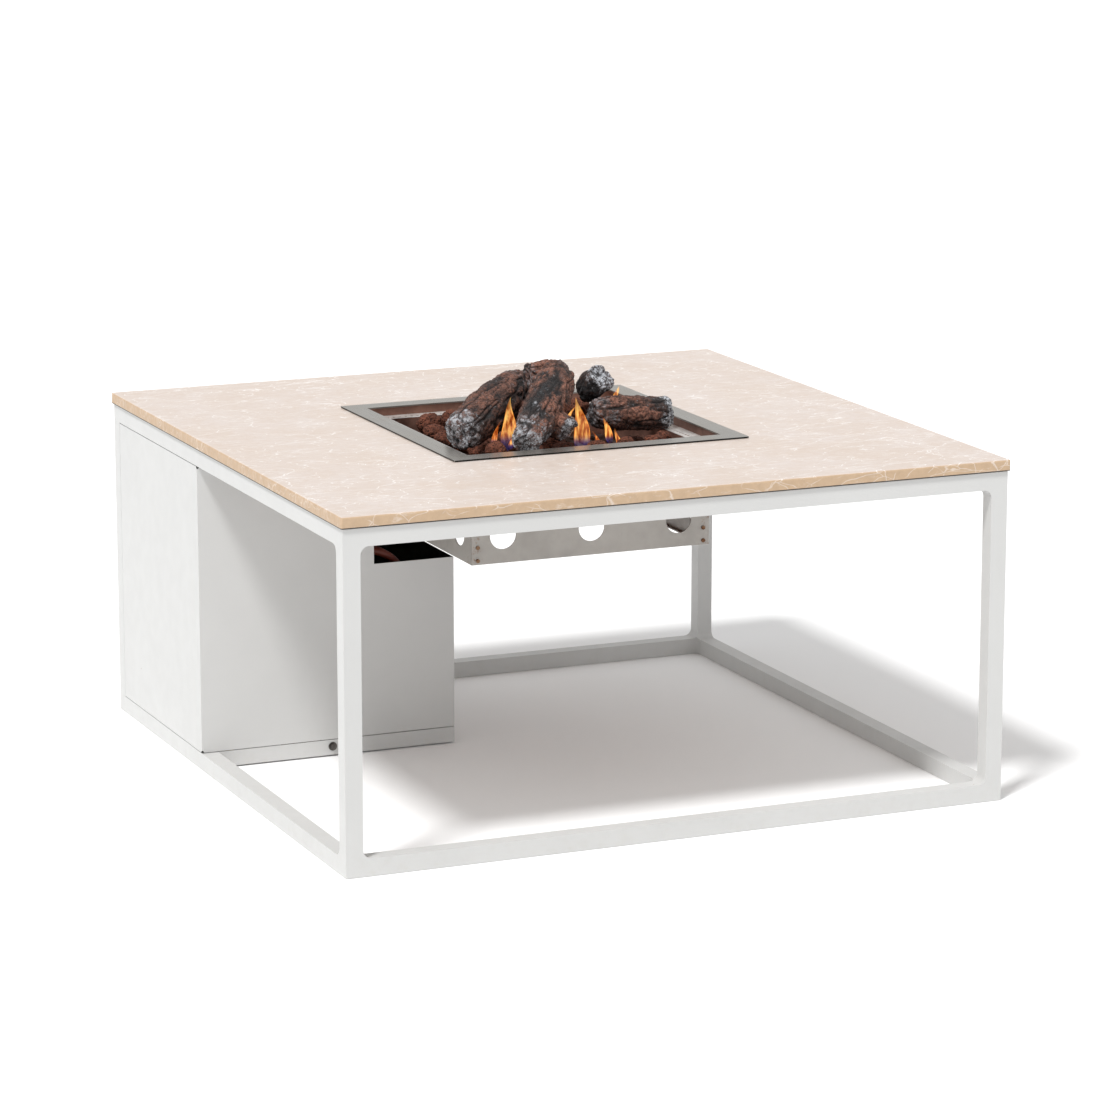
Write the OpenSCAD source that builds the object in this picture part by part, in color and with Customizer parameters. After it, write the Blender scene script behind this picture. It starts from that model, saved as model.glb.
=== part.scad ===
// Square lounge fire table with a drop-in gas burner, a log set and a cabinet for the gas bottle.
// Origin: on the floor under the centre of the table. +Z is up and the long open side faces -Y.

/* [Table] */
// Length of each side of the stone top
table_w = 1000; // [820:1:1250]
// Height of the stone top's upper face above the floor
table_h = 495; // [420:1:620]
// Thickness of the stone top
slab_t = 16; // [12:0.5:24]
// Thickness of the rubber strips between frame and top
strip_t = 1.2; // [0.8:0.1:3]
// How far the top overhangs the frame on each side
overhang = 3; // [1:0.5:20]
// Radius of the top's upper edges and upright corners
slab_edge_r = 3; // [1:0.5:6]

/* [Frame] */
// Width of the square steel tube
tube = 25; // [20:1:40]
// Wall of the square steel tube
tube_wall = 1.5; // [1.2:0.1:3]
// Radius of the dressed welds in the frame's inner corners
weld_r = 12; // [4:1:20]

/* [Burner] */
// Inner width of the burner's trim opening
opening_w = 394; // [320:1:460]
// Width of the trim flange that lies on the top
trim_flange = 31; // [20:1:50]
// Place of the burner's centre along X
burner_x = 3; // [-20:1:20]
// Place of the burner's centre along Y
burner_y = 14; // [-20:1:30]
// Thickness of the burner's steel sheet
sheet = 1.5; // [1:0.1:2.5]
// Depth from the trim's upper face to the perforated rim
rim_drop = 13.5; // [8:0.5:30]
// Width of the perforated rim of the burner tray
rim_w = 26.6; // [20:0.1:40]
// Diameter of the air holes in the rim
air_hole_d = 4.8; // [3:0.1:7]
// Distance between the air holes
air_pitch = 9.5; // [8:0.5:16]
// Depth of the burner tray below its rim
tray_depth = 79; // [70:1:95]
// Radius of the burner ring's centre line
ring_r = 105; // [70:1:120]
// Diameter of the burner ring's tube
ring_tube_d = 16; // [12:1:20]

/* [Burner housing] */
// How far the housing's walls stand inside the trim opening
housing_in = 12; // [8:0.5:20]
// Height of the housing's lower edge below the trim's upper face
housing_drop = 162.5; // [150:0.5:180]
// Diameter of the vent holes in the housing
vent_d = 40; // [20:1:50]
// Distance from the housing's corner to the nearest vent hole
vent_edge = 28; // [22:1:45]
// Height of the vent holes' centres above the housing's lower edge
vent_up = 40; // [28:1:60]

/* [Controls] */
// Diameter of the gas knob
knob_d = 38; // [28:1:42]
// Travel of the gas knob when it is pressed
knob_travel = 4; // [2:0.5:5]
// Diameter of the valve's spindle
spindle_d = 6; // [5:0.5:8]
// Diameter of the igniter button
button_d = 10; // [8:0.5:13]
// Radial clearance of parts that slide or turn
running = 0.05; // [0.02:0.01:0.1]

/* [Gas cabinet] */
// Distance from the frame's centre line to the cabinet's right wall
cabinet_right = 100; // [60:1:140]
// Distance from the cabinet's front panel to the hose behind it
hose_behind = 47; // [42:1:60]
// Gap that the cabinet keeps round the burner housing
cabinet_gap = 44; // [30:1:60]
// Height of the low part of the cabinet's right wall
notch_z = 285; // [240:1:300]
// Gap between cabinet panels and the tubes round them
panel_gap = 1; // [0.5:0.1:2]
// Diameter of the hinge pins
pin_d = 4; // [3:0.5:4.5]
// Diameter of the gas hose
hose_d = 12; // [10:0.5:12]
// Radius of the hose's coil at the middle of its turns
coil_r = 60; // [55:1:64]

/* [Hidden] */
$fn = 48;

eps = 0.01;
half = table_w / 2;
fh = half - overhang;                        // half width of the frame
frame_top = table_h - slab_t - strip_t;
trim_gap = 1;                                // thickness of the trim's gasket
trim_top = table_h + trim_gap + sheet;
in_half = opening_w / 2;
rim_z = trim_top - rim_drop;                 // upper face of the perforated rim
rim_clear = 0.4;
tray_half = in_half - rim_w;                 // inner half width of the tray
tray_floor = rim_z - tray_depth;             // upper face of the tray's floor
lip_w = 7;
hh = in_half - housing_in;                    // half width of the housing
vent_pitch = hh - vent_d / 2 - vent_edge;     // distance between the vent holes
hz = trim_top - housing_drop;                // lower edge of the housing
flange_z = rim_z - sheet - sheet - 10;       // upper edge of the housing
cut_half = in_half + sheet + 6.5;            // half width of the hole in the stone
right_face = burner_x + hh;                  // outer face of the housing's right wall
left_face = burner_x - hh;
vent_z = hz + vent_up;

grate_z = tray_floor + 28;
grate_t = 3;

cabinet_front = burner_y + vent_pitch - hose_behind;
cab_left = -fh;
cab_right = -cabinet_right;
cab_sheet = 1.5;
cab_top = frame_top - tube - panel_gap;
cab_bottom = tube + panel_gap;
notch_x = left_face - cabinet_gap;             // where the front panel's notch begins
notch_y = burner_y + hh + cabinet_gap;       // where the right wall rises again
door_out = fh - 7;                           // outer face of the door
door_deep = 15;
axis_x = -fh + tube + 4.5;                   // hinge axis
axis_y = door_out + 3.8;
knuckle_r = 3.8;
knuckle_h = 25;
hinge_z = [110, 330];                        // lower ends of the two hinges

knob_y = burner_y + 86;
button_y = burner_y + 48;
control_z = vent_z - 7;

rock_r = 25;
rock_pitch = 56;
rock_up = 18.5;

valve_in = right_face - sheet;               // inner face of the housing's right wall
valve_tail = valve_in - 50.5;                // end of the valve's hose barb
// Route of the hose from the valve to the coil, and from the coil to the regulator.
hose_y = burner_y + vent_pitch;
coil_x = notch_x - 2;
coil_z = notch_z - 45;
coil_y = [hose_y - 25, hose_y];              // centre lines of the first and last turn
coil_side = coil_x - coil_r;
reg_x = coil_side - 112;
reg_y = cabinet_front + 32;
reg_z = 4;
stem_z = 18;
reg_tail = reg_x + 34;                       // end of the regulator's hose barb
reg_tail_z = stem_z - 3;
// Distance along X from the housing's left wall, and share of the way to the vent hole's line.
hose_cross = [
    [212, 0], [182, 0.02], [152, 0.16], [122, 0.43], [92, 0.75], [62, 0.94], [32, 1], [-8, 1]
];
hose_in = concat(
    [for (x = [0, 26, 66]) [valve_tail - x, knob_y, control_z]],
    [
        for (q = hose_cross)
            [left_face + q[0], knob_y + (hose_y - knob_y) * q[1], control_z + (vent_z - control_z) * q[1]]
    ],
    [for (a = [0 : 22.5 : 90]) [coil_x - coil_r * sin(a), hose_y, vent_z - coil_r * (1 - cos(a))]],
    [for (up = [50, 25, 0]) [coil_side, hose_y, coil_z + up]]
);
// Across, back and up from the coil's side and the regulator's barb.
hose_turn = [
    [0, -10, 51], [-3, -10, 33], [-11, -9.5, 18], [-23, -8, 6.5], [-39, -5.5, 0], [-55, -2.5, -1.5],
    [-66, 0, 0]
];
hose_out = concat(
    [for (z = [coil_z, 195, 150, 105]) [coil_side, coil_y[0], z]],
    [for (q = hose_turn) [coil_side + q[0], reg_y + q[1], reg_tail_z + q[2]]],
    [[reg_tail, reg_y, reg_tail_z]]
);

lead_z = tray_floor - 13;                    // lower ends of the sensor and the electrode
// The sensor and the electrode stand between the ring and the tray's wall, at these shares of the gap.
sensor_share = 0.4893;
spark_share = 0.3058;
ring_gap = tray_half - ring_r;
sensor_at = [burner_x + ring_r + sensor_share * ring_gap, burner_y + 56, lead_z];
spark_at = [burner_x + ring_r + spark_share * ring_gap, burner_y + 38, lead_z];
// Where they stand with the drawn ring. The routes' ends at the valve and the igniter keep to these.
sensor_base = [burner_x + tray_half - 33.4, burner_y + 56, lead_z];
spark_base = [burner_x + tray_half - 45.4, burner_y + 38, lead_z];
sensor_steps = [
    [0, 0, 0], [0, 0, -4], [3, 1, -8], [10, 3, -11], [18, 6, -13], [26, 9, -14], [31, 12, -14],
    [33, 14, -14], [33, 16, -14]
];
spark_steps = [
    [0, 0, 0], [0, 0, -1.5], [1, 0, -3], [5, 1, -5], [12, 3, -6], [22, 6, -6], [32, 8, -6],
    [38, 9, -8], [40, 10, -12], [40, 10, -16]
];
// Routes of the two leads from those ends down to the valve and the igniter.
lead_bend = [0, 0, 0.1, 0.3, 0.5, 0.75, 0.95, 1, 1, 1];
function lead_route(base, at, steps) = let (last = len(steps) - 1) [
    for (i = [0:last]) base + steps[i] + (at - base) * (1 - lead_bend[i])
];
sensor_route = lead_route(sensor_base, sensor_at, sensor_steps);
spark_route = lead_route(spark_base, spark_at, spark_steps);

// The log set and the large rocks are drawn for this half width of the tray, and grow with it.
set_half = 170.4;
set_scale = tray_half / set_half;
// Centre lines and radii of the logs, from the burner's centre and the trim's upper face.
log_left_line = [[-168, -98, 11], [-146, -76, 15], [-100, -36, 27], [-56, 4, 37], [-8, 50, 44]];
log_left_r = [24, 29, 33, 33, 28];
log_forked_line = [[-95, -165, 4], [-66, -132, 22], [-33, -94, 42], [-4, -51, 57], [15, -13, 68]];
log_forked_r = [19, 26, 29, 31, 29];
fork_line = [[-36, -102, 31], [-27, -117, 19], [-14, -131, 8]];
fork_r = [20, 20, 18];
knob_line = [[6, -16, 69], [-12, -22, 72], [-32, -29, 74]];
knob_r = [22, 20, 18];
log_stub_line = [[70, 2, 35], [77, -12, 50], [85, -28, 65]];
log_stub_r = [17, 21, 21];
log_right_line = [[62, -46, 15], [100, -44, 12], [150, -50, 10], [182, -54, 9.5]];
log_right_r = [20, 24, 24, 22];

// Large rocks, from the burner's centre and the trim's upper face: x, y, z, radius.
big_rocks = [
    [-131, 106, -12, 25], [-146, 52, -16, 20], [-84, 140, -16, 20], [-133, -148, -8, 20],
    [-150, 2, -17, 19], [24, -150, -16, 18], [74, -142, -15, 19], [122, -136, -16, 18],
    [150, -100, -18, 15], [75, 40, 7, 21], [120, 40, -14, 22], [146, 120, -15, 21]
];

// ---- shared shapes ----

// A square steel tube of length l along +Z, centred on the axis.
module square_tube(l, w = tube, wall = tube_wall, r = 1.2) {
    difference() {
        linear_extrude(l) rounded_square(w, w, r);
        translate([0, 0, -1]) linear_extrude(l + 2) square(w - 2 * wall, center = true);
    }
}

// A rectangle with round corners, built only from rectangles and circles.
module rounded_square(a, b, r) {
    square([a - 2 * r, b], center = true);
    square([a, b - 2 * r], center = true);
    for (x = [-1, 1], y = [-1, 1])
        translate([x * (a / 2 - r), y * (b / 2 - r)]) circle(r);
}

module box(lo, hi) {
    translate(lo) cube(hi - lo);
}

// A square ring in the XY plane, from z to z + t.
module square_ring(outer, inner, z, t) {
    translate([0, 0, z]) linear_extrude(t) difference() {
        square(2 * outer, center = true);
        square(2 * inner, center = true);
    }
}

module along_x(p, l, r) {
    translate(p) rotate([0, 90, 0]) cylinder(h = l, r = r);
}

module along_y(p, l, r) {
    translate(p) rotate([-90, 0, 0]) cylinder(h = l, r = r);
}

module rail_x(y, z) {
    translate([-fh + tube, y, z]) rotate([0, 90, 0]) square_tube(2 * (fh - tube));
}

module rail_y(x, z) {
    translate([x, -fh + tube, z]) rotate([-90, 0, 0]) square_tube(2 * (fh - tube));
}

module leg(sx, sy) {
    translate([sx * (fh - tube / 2), sy * (fh - tube / 2), 0]) square_tube(frame_top);
}

// Things placed from the burner's centre.
module at_burner(z = 0) {
    translate([burner_x, burner_y, z]) children();
}

function unit(v) = v / norm(v);
function tangent(p, i) = unit(p[min(i + 1, len(p) - 1)] - p[max(i - 1, 0)]);
function side_of(t) = unit(cross(t, abs(t[2]) > 0.9 ? [0, 1, 0] : [0, 0, 1]));
// The first ring's direction is carried along the line, so that the tube doesn't twist.
function carried(p, i) = i == 0
    ? side_of(tangent(p, 0))
    : let (u = carried(p, i - 1), t = tangent(p, i)) unit(u - t * (u * t));

// A round bar that follows the points p, with a radius for each point and n sides.
module swept(p, r, n) {
    rings = [
        for (i = [0 : len(p) - 1])
            let (t = tangent(p, i), u = carried(p, i), v = cross(t, u))
                for (k = [0 : n - 1])
                    p[i] + r[i] * (u * cos(360 * k / n) + v * sin(360 * k / n))
    ];
    sides = [
        for (i = [0 : len(p) - 2], k = [0 : n - 1])
            [i * n + k, (i + 1) * n + k, (i + 1) * n + (k + 1) % n, i * n + (k + 1) % n]
    ];
    start = [for (k = [0 : n - 1]) k];
    finish = [for (k = [n - 1 : -1 : 0]) (len(p) - 1) * n + k];
    polyhedron(rings, concat(sides, [start], [finish]));
}

function even(p, r) = [for (q = p) r];

// A lump of rock: an icosahedron whose corners stand in and out a little.
golden = (1 + sqrt(5)) / 2;
ico = [
    [-1, golden, 0], [1, golden, 0], [-1, -golden, 0], [1, -golden, 0],
    [0, -1, golden], [0, 1, golden], [0, -1, -golden], [0, 1, -golden],
    [golden, 0, -1], [golden, 0, 1], [-golden, 0, -1], [-golden, 0, 1]
];
ico_faces = [
    [0, 11, 5], [0, 5, 1], [0, 1, 7], [0, 7, 10], [0, 10, 11],
    [1, 5, 9], [5, 11, 4], [11, 10, 2], [10, 7, 6], [7, 1, 8],
    [3, 9, 4], [3, 4, 2], [3, 2, 6], [3, 6, 8], [3, 8, 9],
    [4, 9, 5], [2, 4, 11], [6, 2, 10], [8, 6, 7], [9, 8, 1]
];
module rock(c, r, flat, seed) {
    reach = norm(ico[0]);
    points = [
        for (i = [0 : 11])
            let (k = (0.9 + 0.1 * sin(97 * i + 61 * seed)) * r / reach)
                [c[0] + k * ico[i][0], c[1] + k * ico[i][1], c[2] + k * flat * ico[i][2]]
    ];
    polyhedron(points, [for (f = ico_faces) [f[2], f[1], f[0]]]);
}

// ---- frame ----

module leg_front_left() { color("whitesmoke") leg(-1, -1); }
module leg_front_right() { color("whitesmoke") leg(1, -1); }
module leg_back_left() { color("whitesmoke") leg(-1, 1); }
module leg_back_right() { color("whitesmoke") leg(1, 1); }

module base_rail_front() { color("whitesmoke") rail_x(-fh + tube / 2, tube / 2); }
module base_rail_back() { color("whitesmoke") rail_x(fh - tube / 2, tube / 2); }
module base_rail_left() { color("whitesmoke") rail_y(-fh + tube / 2, tube / 2); }
module base_rail_right() { color("whitesmoke") rail_y(fh - tube / 2, tube / 2); }

module top_rail_front() { color("whitesmoke") rail_x(-fh + tube / 2, frame_top - tube / 2); }
module top_rail_back() { color("whitesmoke") rail_x(fh - tube / 2, frame_top - tube / 2); }
module top_rail_left() { color("whitesmoke") rail_y(-fh + tube / 2, frame_top - tube / 2); }
module top_rail_right() { color("whitesmoke") rail_y(fh - tube / 2, frame_top - tube / 2); }

// The two bars under the stone stand just clear of the hole for the burner.
bar_gap = 5;
module crossbar_front() {
    color("whitesmoke") rail_x(burner_y - cut_half - bar_gap - tube / 2, frame_top - tube / 2);
}
module crossbar_back() {
    color("whitesmoke") rail_x(burner_y + cut_half + bar_gap + tube / 2, frame_top - tube / 2);
}

// The profile of one dressed weld, in the corner at the origin.
module weld_profile() {
    difference() {
        square(weld_r);
        translate([weld_r, weld_r]) circle(weld_r);
    }
}

weld_t = tube - 3;
// Welds in the upright faces: the four corners of each of the four sides.
module side_welds() {
    for (turn = [0, 90, 180, 270], s = [-1, 1], up = [0, 1])
        rotate([0, 0, turn])
            translate([s * (fh - tube), -fh + tube / 2, up ? frame_top - tube : tube])
                rotate([90, 0, 0]) mirror([s > 0 ? 1 : 0, 0, 0]) mirror([0, up, 0])
                    linear_extrude(weld_t, center = true) weld_profile();
}
// Welds in the level corners of the base and of the top ring.
module level_welds() {
    for (sx = [-1, 1], sy = [-1, 1], z = [tube / 2, frame_top - tube / 2])
        if (sx > 0 || sy < 0 || z > tube)
            translate([sx * (fh - tube), sy * (fh - tube), z])
                mirror([sx > 0 ? 1 : 0, 0, 0]) mirror([0, sy > 0 ? 1 : 0, 0])
                    linear_extrude(weld_t, center = true) weld_profile();
}
// The cabinet's panels and the door fill four of the corners, where no fillet stands proud.
module corner_welds() {
    color("whitesmoke") difference() {
        union() {
            side_welds();
            level_welds();
        }
        box([-fh - 1, cabinet_front - 5, tube - 1], [cab_right, fh + 1, frame_top - tube + 1]);
    }
}

plug_deep = 15;
module foot_plugs() {
    w = tube - 2 * tube_wall - 0.4;
    color("dimgray")
        for (sx = [-1, 1], sy = [-1, 1])
            translate([sx * (fh - tube / 2) - w / 2, sy * (fh - tube / 2) - w / 2, 0])
                difference() {
                    cube([w, w, plug_deep]);
                    translate([3, 3, 3]) cube([w - 6, w - 6, plug_deep]);
                }
}

// ---- stone top ----

strip_in = 2;
module rubber_strips() {
    w = tube - 2 * strip_in;
    reach = fh - strip_in;
    color("black") translate([0, 0, frame_top]) {
        for (s = [-1, 1]) {
            box([-reach, s * (fh - tube / 2) - w / 2, 0], [reach, s * (fh - tube / 2) + w / 2, strip_t]);
            box([s * (fh - tube / 2) - w / 2, -reach + w, 0], [s * (fh - tube / 2) + w / 2, reach - w, strip_t]);
        }
        for (y = [burner_y - cut_half - bar_gap - tube, burner_y + cut_half + bar_gap])
            box([-reach + w, y + strip_in, 0], [reach - w, y + tube - strip_in, strip_t]);
    }
}

// What is cut away along one upper edge of the stone.
module edge_cut() {
    translate([0, half - slab_edge_r, table_h - slab_edge_r]) rotate([0, 90, 0])
        linear_extrude(table_w + 2, center = true) difference() {
            translate([-slab_edge_r - 1, 0]) square([slab_edge_r + 1, slab_edge_r + 1]);
            circle(slab_edge_r);
        }
}

module stone_top() {
    color("bisque") difference() {
        translate([0, 0, table_h - slab_t]) linear_extrude(slab_t)
            rounded_square(table_w, table_w, slab_edge_r);
        for (turn = [0, 90, 180, 270]) rotate([0, 0, turn]) edge_cut();
        at_burner(table_h - slab_t - 1) linear_extrude(slab_t + 2)
            rounded_square(2 * cut_half, 2 * cut_half, 6);
    }
}

// ---- burner ----

trim_half = in_half + trim_flange;
module trim_gasket() {
    color("black") at_burner() square_ring(trim_half - 2.5, cut_half + 2, table_h, trim_gap);
}

module trim_surround() {
    lip_z = rim_z - 2 * sheet;
    color("silver") at_burner() {
        difference() {
            translate([0, 0, trim_top - sheet]) linear_extrude(sheet)
                rounded_square(2 * trim_half, 2 * trim_half, 2);
            translate([0, 0, trim_top - sheet - 1]) linear_extrude(sheet + 2)
                square(opening_w, center = true);
        }
        square_ring(in_half + sheet, in_half, lip_z, trim_top - sheet - lip_z);
        square_ring(in_half + eps, in_half - lip_w, lip_z, sheet);
    }
}

// Holes of the rim: one straight row on each side, between the rows of the sides next to it.
module air_holes() {
    row = in_half - rim_w + 9.5;
    n = floor((row - 6) / air_pitch);
    for (turn = [0, 90, 180, 270], i = [-n : n])
        rotate([0, 0, turn]) translate([i * air_pitch, row, rim_z - sheet - 1])
            cylinder(h = sheet + 2, d = air_hole_d, $fn = 24);
}

jet_hole_r = 10;
module burner_tray() {
    color("rosybrown") difference() {
        union() {
            at_burner() {
                square_ring(in_half - rim_clear, tray_half, rim_z - sheet, sheet);
                square_ring(tray_half + sheet, tray_half, tray_floor - sheet, tray_depth);
                translate([-tray_half - eps, -tray_half - eps, tray_floor - sheet])
                    cube([2 * tray_half + 2 * eps, 2 * tray_half + 2 * eps, sheet]);
            }
        }
        at_burner() air_holes();
        at_burner(tray_floor - 5) cylinder(h = 10, r = jet_hole_r);
        translate([sensor_at[0], sensor_at[1], tray_floor - 5]) cylinder(h = 10, r = 3.2);
        translate([spark_at[0], spark_at[1], tray_floor - 5]) cylinder(h = 10, r = 3.2);
    }
}

grate_half = tray_half - 1.5;
slots = 12;
slot_w = 14;
module rock_grate() {
    pitch = (2 * grate_half - 24) / slots;
    color("dimgray") at_burner() {
        difference() {
            translate([-grate_half, -grate_half, grate_z]) cube([2 * grate_half, 2 * grate_half, grate_t]);
            for (i = [0 : slots - 1], s = [-1, 1])
                translate([-grate_half + 12 + (i + 0.5) * pitch - slot_w / 2,
                           s > 0 ? 6 : -grate_half + 12, grate_z - 1])
                    cube([slot_w, grate_half - 18, grate_t + 2]);
        }
        for (x = [-1, 1], y = [-1, 1])
            translate([x * (grate_half - 6) - 5, y * (grate_half - 6) - 5, tray_floor])
                cube([10, 10, grate_z - tray_floor + eps]);
    }
}

ring_z = tray_floor + 14;
ports = 32;
module burner_ring() {
    r = ring_tube_d / 2;
    color("silver") at_burner(ring_z) difference() {
        union() {
            rotate_extrude() translate([ring_r, 0]) circle(r);
            along_x([-ring_r, 0, 0], 2 * ring_r, r);
        }
        rotate_extrude() translate([ring_r, 0]) circle(r - 1);
        along_x([-ring_r, 0, 0], 2 * ring_r, r - 1);
        translate([0, 0, -r - 1]) cylinder(h = r + 1, r = 5.5);
        for (i = [0 : ports - 1])
            rotate([0, 0, (i + 0.5) * 360 / ports]) translate([ring_r, 0, 0]) cylinder(h = r + 1, d = 2.5);
    }
}

mix_bottom = tray_floor - 13;
module mixing_tube() {
    top = ring_z - ring_tube_d / 2 - 0.5;
    color("silver") at_burner() difference() {
        union() {
            translate([0, 0, mix_bottom]) cylinder(h = top - mix_bottom, r = 8);
            translate([0, 0, tray_floor]) cylinder(h = 2, r = 14);
        }
        translate([0, 0, mix_bottom - 1]) cylinder(h = top - mix_bottom + 2, r = 5.5);
        for (turn = [0, 90])
            rotate([0, 0, turn]) along_x([-10, 0, mix_bottom + 7], 20, 3);
    }
}

module gas_jet() {
    color("goldenrod") at_burner() difference() {
        union() {
            translate([0, 0, mix_bottom - 8]) cylinder(h = 8, r = 9, $fn = 6);
            translate([0, 0, mix_bottom - eps]) cylinder(h = 9, r = 5.3);
        }
        translate([0, 0, mix_bottom - 9]) cylinder(h = 12, r = 2.5);
        translate([0, 0, mix_bottom]) cylinder(h = 12, r = 0.6, $fn = 24);
    }
}

module flame_sensor() {
    color("darkgoldenrod") translate([sensor_at[0], sensor_at[1], 0]) {
        translate([0, 0, lead_z]) cylinder(h = grate_z - lead_z - 3, r = 2.5);
        translate([0, 0, tray_floor]) cylinder(h = 3, r = 6, $fn = 6);
    }
}

module spark_electrode() {
    color("white") translate([spark_at[0], spark_at[1], 0]) {
        translate([0, 0, lead_z]) cylinder(h = tray_floor + 14 - lead_z, r = 3);
        translate([0, 0, tray_floor + 14 - eps]) cylinder(h = 10, r = 1);
        translate([0, 0, tray_floor]) cylinder(h = 2, r = 5);
    }
}

// ---- rocks and logs ----

// The bed of rocks is a grid that leaves room for the large rocks.
function bed_spots() = let (n = floor((tray_half - rock_r) / rock_pitch * 2) / 2, z = grate_z + grate_t - trim_top) [
    for (i = [-n : n], j = [-n : n])
        let (x = i * rock_pitch, y = j * rock_pitch)
            if (min([for (b = big_rocks) norm([b[0] * set_scale - x, b[1] * set_scale - y]) - b[3] * set_scale])
                > rock_r)
                [x, y, z + rock_up, rock_r]
];
module lava_rocks() {
    bed = bed_spots();
    color("saddlebrown") {
        at_burner(trim_top) for (i = [0 : len(bed) - 1]) rock(bed[i], bed[i][3], 0.7, i);
        log_set() for (i = [0 : len(big_rocks) - 1]) rock(big_rocks[i], big_rocks[i][3], 0.85, i + 50);
    }
}

module log_set() {
    at_burner(trim_top) scale(set_scale) children();
}

module log_left() { color("sienna") log_set() swept(log_left_line, log_left_r, 12); }
module log_forked() {
    color("sienna") log_set() {
        swept(log_forked_line, log_forked_r, 12);
        swept(fork_line, fork_r, 12);
        swept(knob_line, knob_r, 12);
    }
}
module log_stub() { color("dimgray") log_set() swept(log_stub_line, log_stub_r, 12); }
module log_right() { color("sienna") log_set() swept(log_right_line, log_right_r, 12); }

// ---- burner housing ----

// One wall of the housing, square to +Y, with its vent holes and the flange that meets the surround.
module housing_wall(w, flange) {
    difference() {
        union() {
            translate([-w / 2, hh - sheet, hz]) cube([w, sheet, flange_z - hz]);
            translate([-w / 2, hh - flange, flange_z - sheet]) cube([w, flange, sheet]);
            translate([-w / 2, hh - 8, hz]) cube([w, 8, sheet]);
        }
        for (i = [-1 : 1]) along_y([i * vent_pitch, hh - 4, vent_z], 8, vent_d / 2);
    }
}

// The side walls carry upright flanges behind the front and back walls, for the screws.
module housing_side(side) {
    inner = 2 * (hh - sheet - 0.2);
    rotate([0, 0, -90 * side]) {
        housing_wall(inner, hh - tray_half - sheet - 0.3);
        for (s = [-1, 1])
            translate([s > 0 ? inner / 2 - sheet : -inner / 2, hh - 16, hz + sheet - eps])
                cube([sheet, 16 - sheet + eps, flange_z - hz - 2 * sheet]);
    }
}

screw_up = [6, 25, 80];
module wall_screw_holes(y, len) {
    for (s = [-1, 1], up = screw_up) along_y([s * (hh - 9), y, hz + up], len, 1.7);
}

module housing_end(side) {
    w = 2 * hh;
    difference() {
        rotate([0, 0, side > 0 ? 0 : 180]) difference() {
            housing_wall(w, hh - tray_half - sheet - 0.3);
            for (s = [-1, 1]) {
                translate([s * (hh - 5) - 12, hh - 40, flange_z - sheet - 1]) cube([24, 40 - sheet, sheet + 2]);
                translate([s * (hh - 5) - 12, hh - 40, hz - 1]) cube([24, 40 - sheet, sheet + 2]);
            }
        }
        wall_screw_holes(side > 0 ? hh - 3 : -hh - 3, 6);
    }
}

module housing_front() { color("darkgray") at_burner() housing_end(-1); }
module housing_back() { color("darkgray") at_burner() housing_end(1); }

module housing_left() {
    color("darkgray") at_burner() difference() {
        housing_side(-1);
        wall_screw_holes(-hh - 3, 8);
        wall_screw_holes(hh - 5, 8);
    }
}
module housing_right() {
    color("darkgray") difference() {
        at_burner() difference() {
            housing_side(1);
            wall_screw_holes(-hh - 3, 8);
            wall_screw_holes(hh - 5, 8);
        }
        along_x([right_face - 3, knob_y, control_z], 6, 7.2);
        along_x([right_face - 3, button_y, control_z], 6, 8.3);
    }
}

module housing_screws() {
    color("peru") at_burner()
        for (s = [-1, 1], end = [-1, 1], up = screw_up)
            translate([s * (hh - 9), end * hh, hz + up]) rotate([end > 0 ? -90 : 90, 0, 0]) {
                cylinder(h = 1.6, r = 2.9);
                translate([0, 0, -4.5]) cylinder(h = 4.5 + eps, r = 1.5);
            }
}

// ---- controls ----

plate_t = 1.5;                               // thickness of the control plate
module control_plate() {
    color("silver") difference() {
        translate([right_face, button_y - 17, control_z - 22]) cube([plate_t, knob_y - button_y + 42, 44]);
        along_x([right_face - 1, knob_y, control_z], 4, 7.2);
        along_x([right_face - 1, button_y, control_z], 4, 8.3);
    }
}

bush_out = right_face + 6;
plunger_r = 5;
plunger_bottom = right_face - 14 - knob_travel;
outlet_in = 33;                              // from the housing wall to the outlet's axis
module gas_valve() {
    color("goldenrod") difference() {
        union() {
            translate([valve_in - 40, knob_y - 14, control_z - 18]) cube([40, 28, 36]);
            along_x([valve_in - eps, knob_y, control_z], bush_out - valve_in, 6.9);
            along_x([right_face + plate_t, knob_y, control_z], 3, 10.5);
            along_x([valve_tail, knob_y, control_z], valve_in - 40 - valve_tail + eps, 7);
            along_y([valve_in - outlet_in, knob_y - 14 - 6, control_z], 6 + eps, 6.5);
        }
        along_x([plunger_bottom, knob_y, control_z], 30, plunger_r);
        along_x([valve_tail - 1, knob_y, control_z], 20, 3);
        along_y([valve_in - outlet_in, knob_y - 21, control_z], 14, 3);
    }
}

// The plunger slides in the valve's bush and carries the spindle, which turns in it.
module valve_plunger() {
    color("silver") difference() {
        along_x([right_face - 12, knob_y, control_z], 16, plunger_r - running);
        along_x([right_face - 13, knob_y, control_z], 18, spindle_d / 2 + running);
    }
}

spindle_in = right_face - 13.5;
knob_back = bush_out + 1 + knob_travel;      // the knob stays clear of the bush when it is pressed
knob_deep = 21;
module valve_spindle() {
    color("gainsboro") difference() {
        along_x([spindle_in, knob_y, control_z], knob_back + 16 - spindle_in, spindle_d / 2);
        translate([knob_back + 2, knob_y - 5, control_z + spindle_d / 2 - 1]) cube([20, 10, 5]);
    }
}

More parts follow.
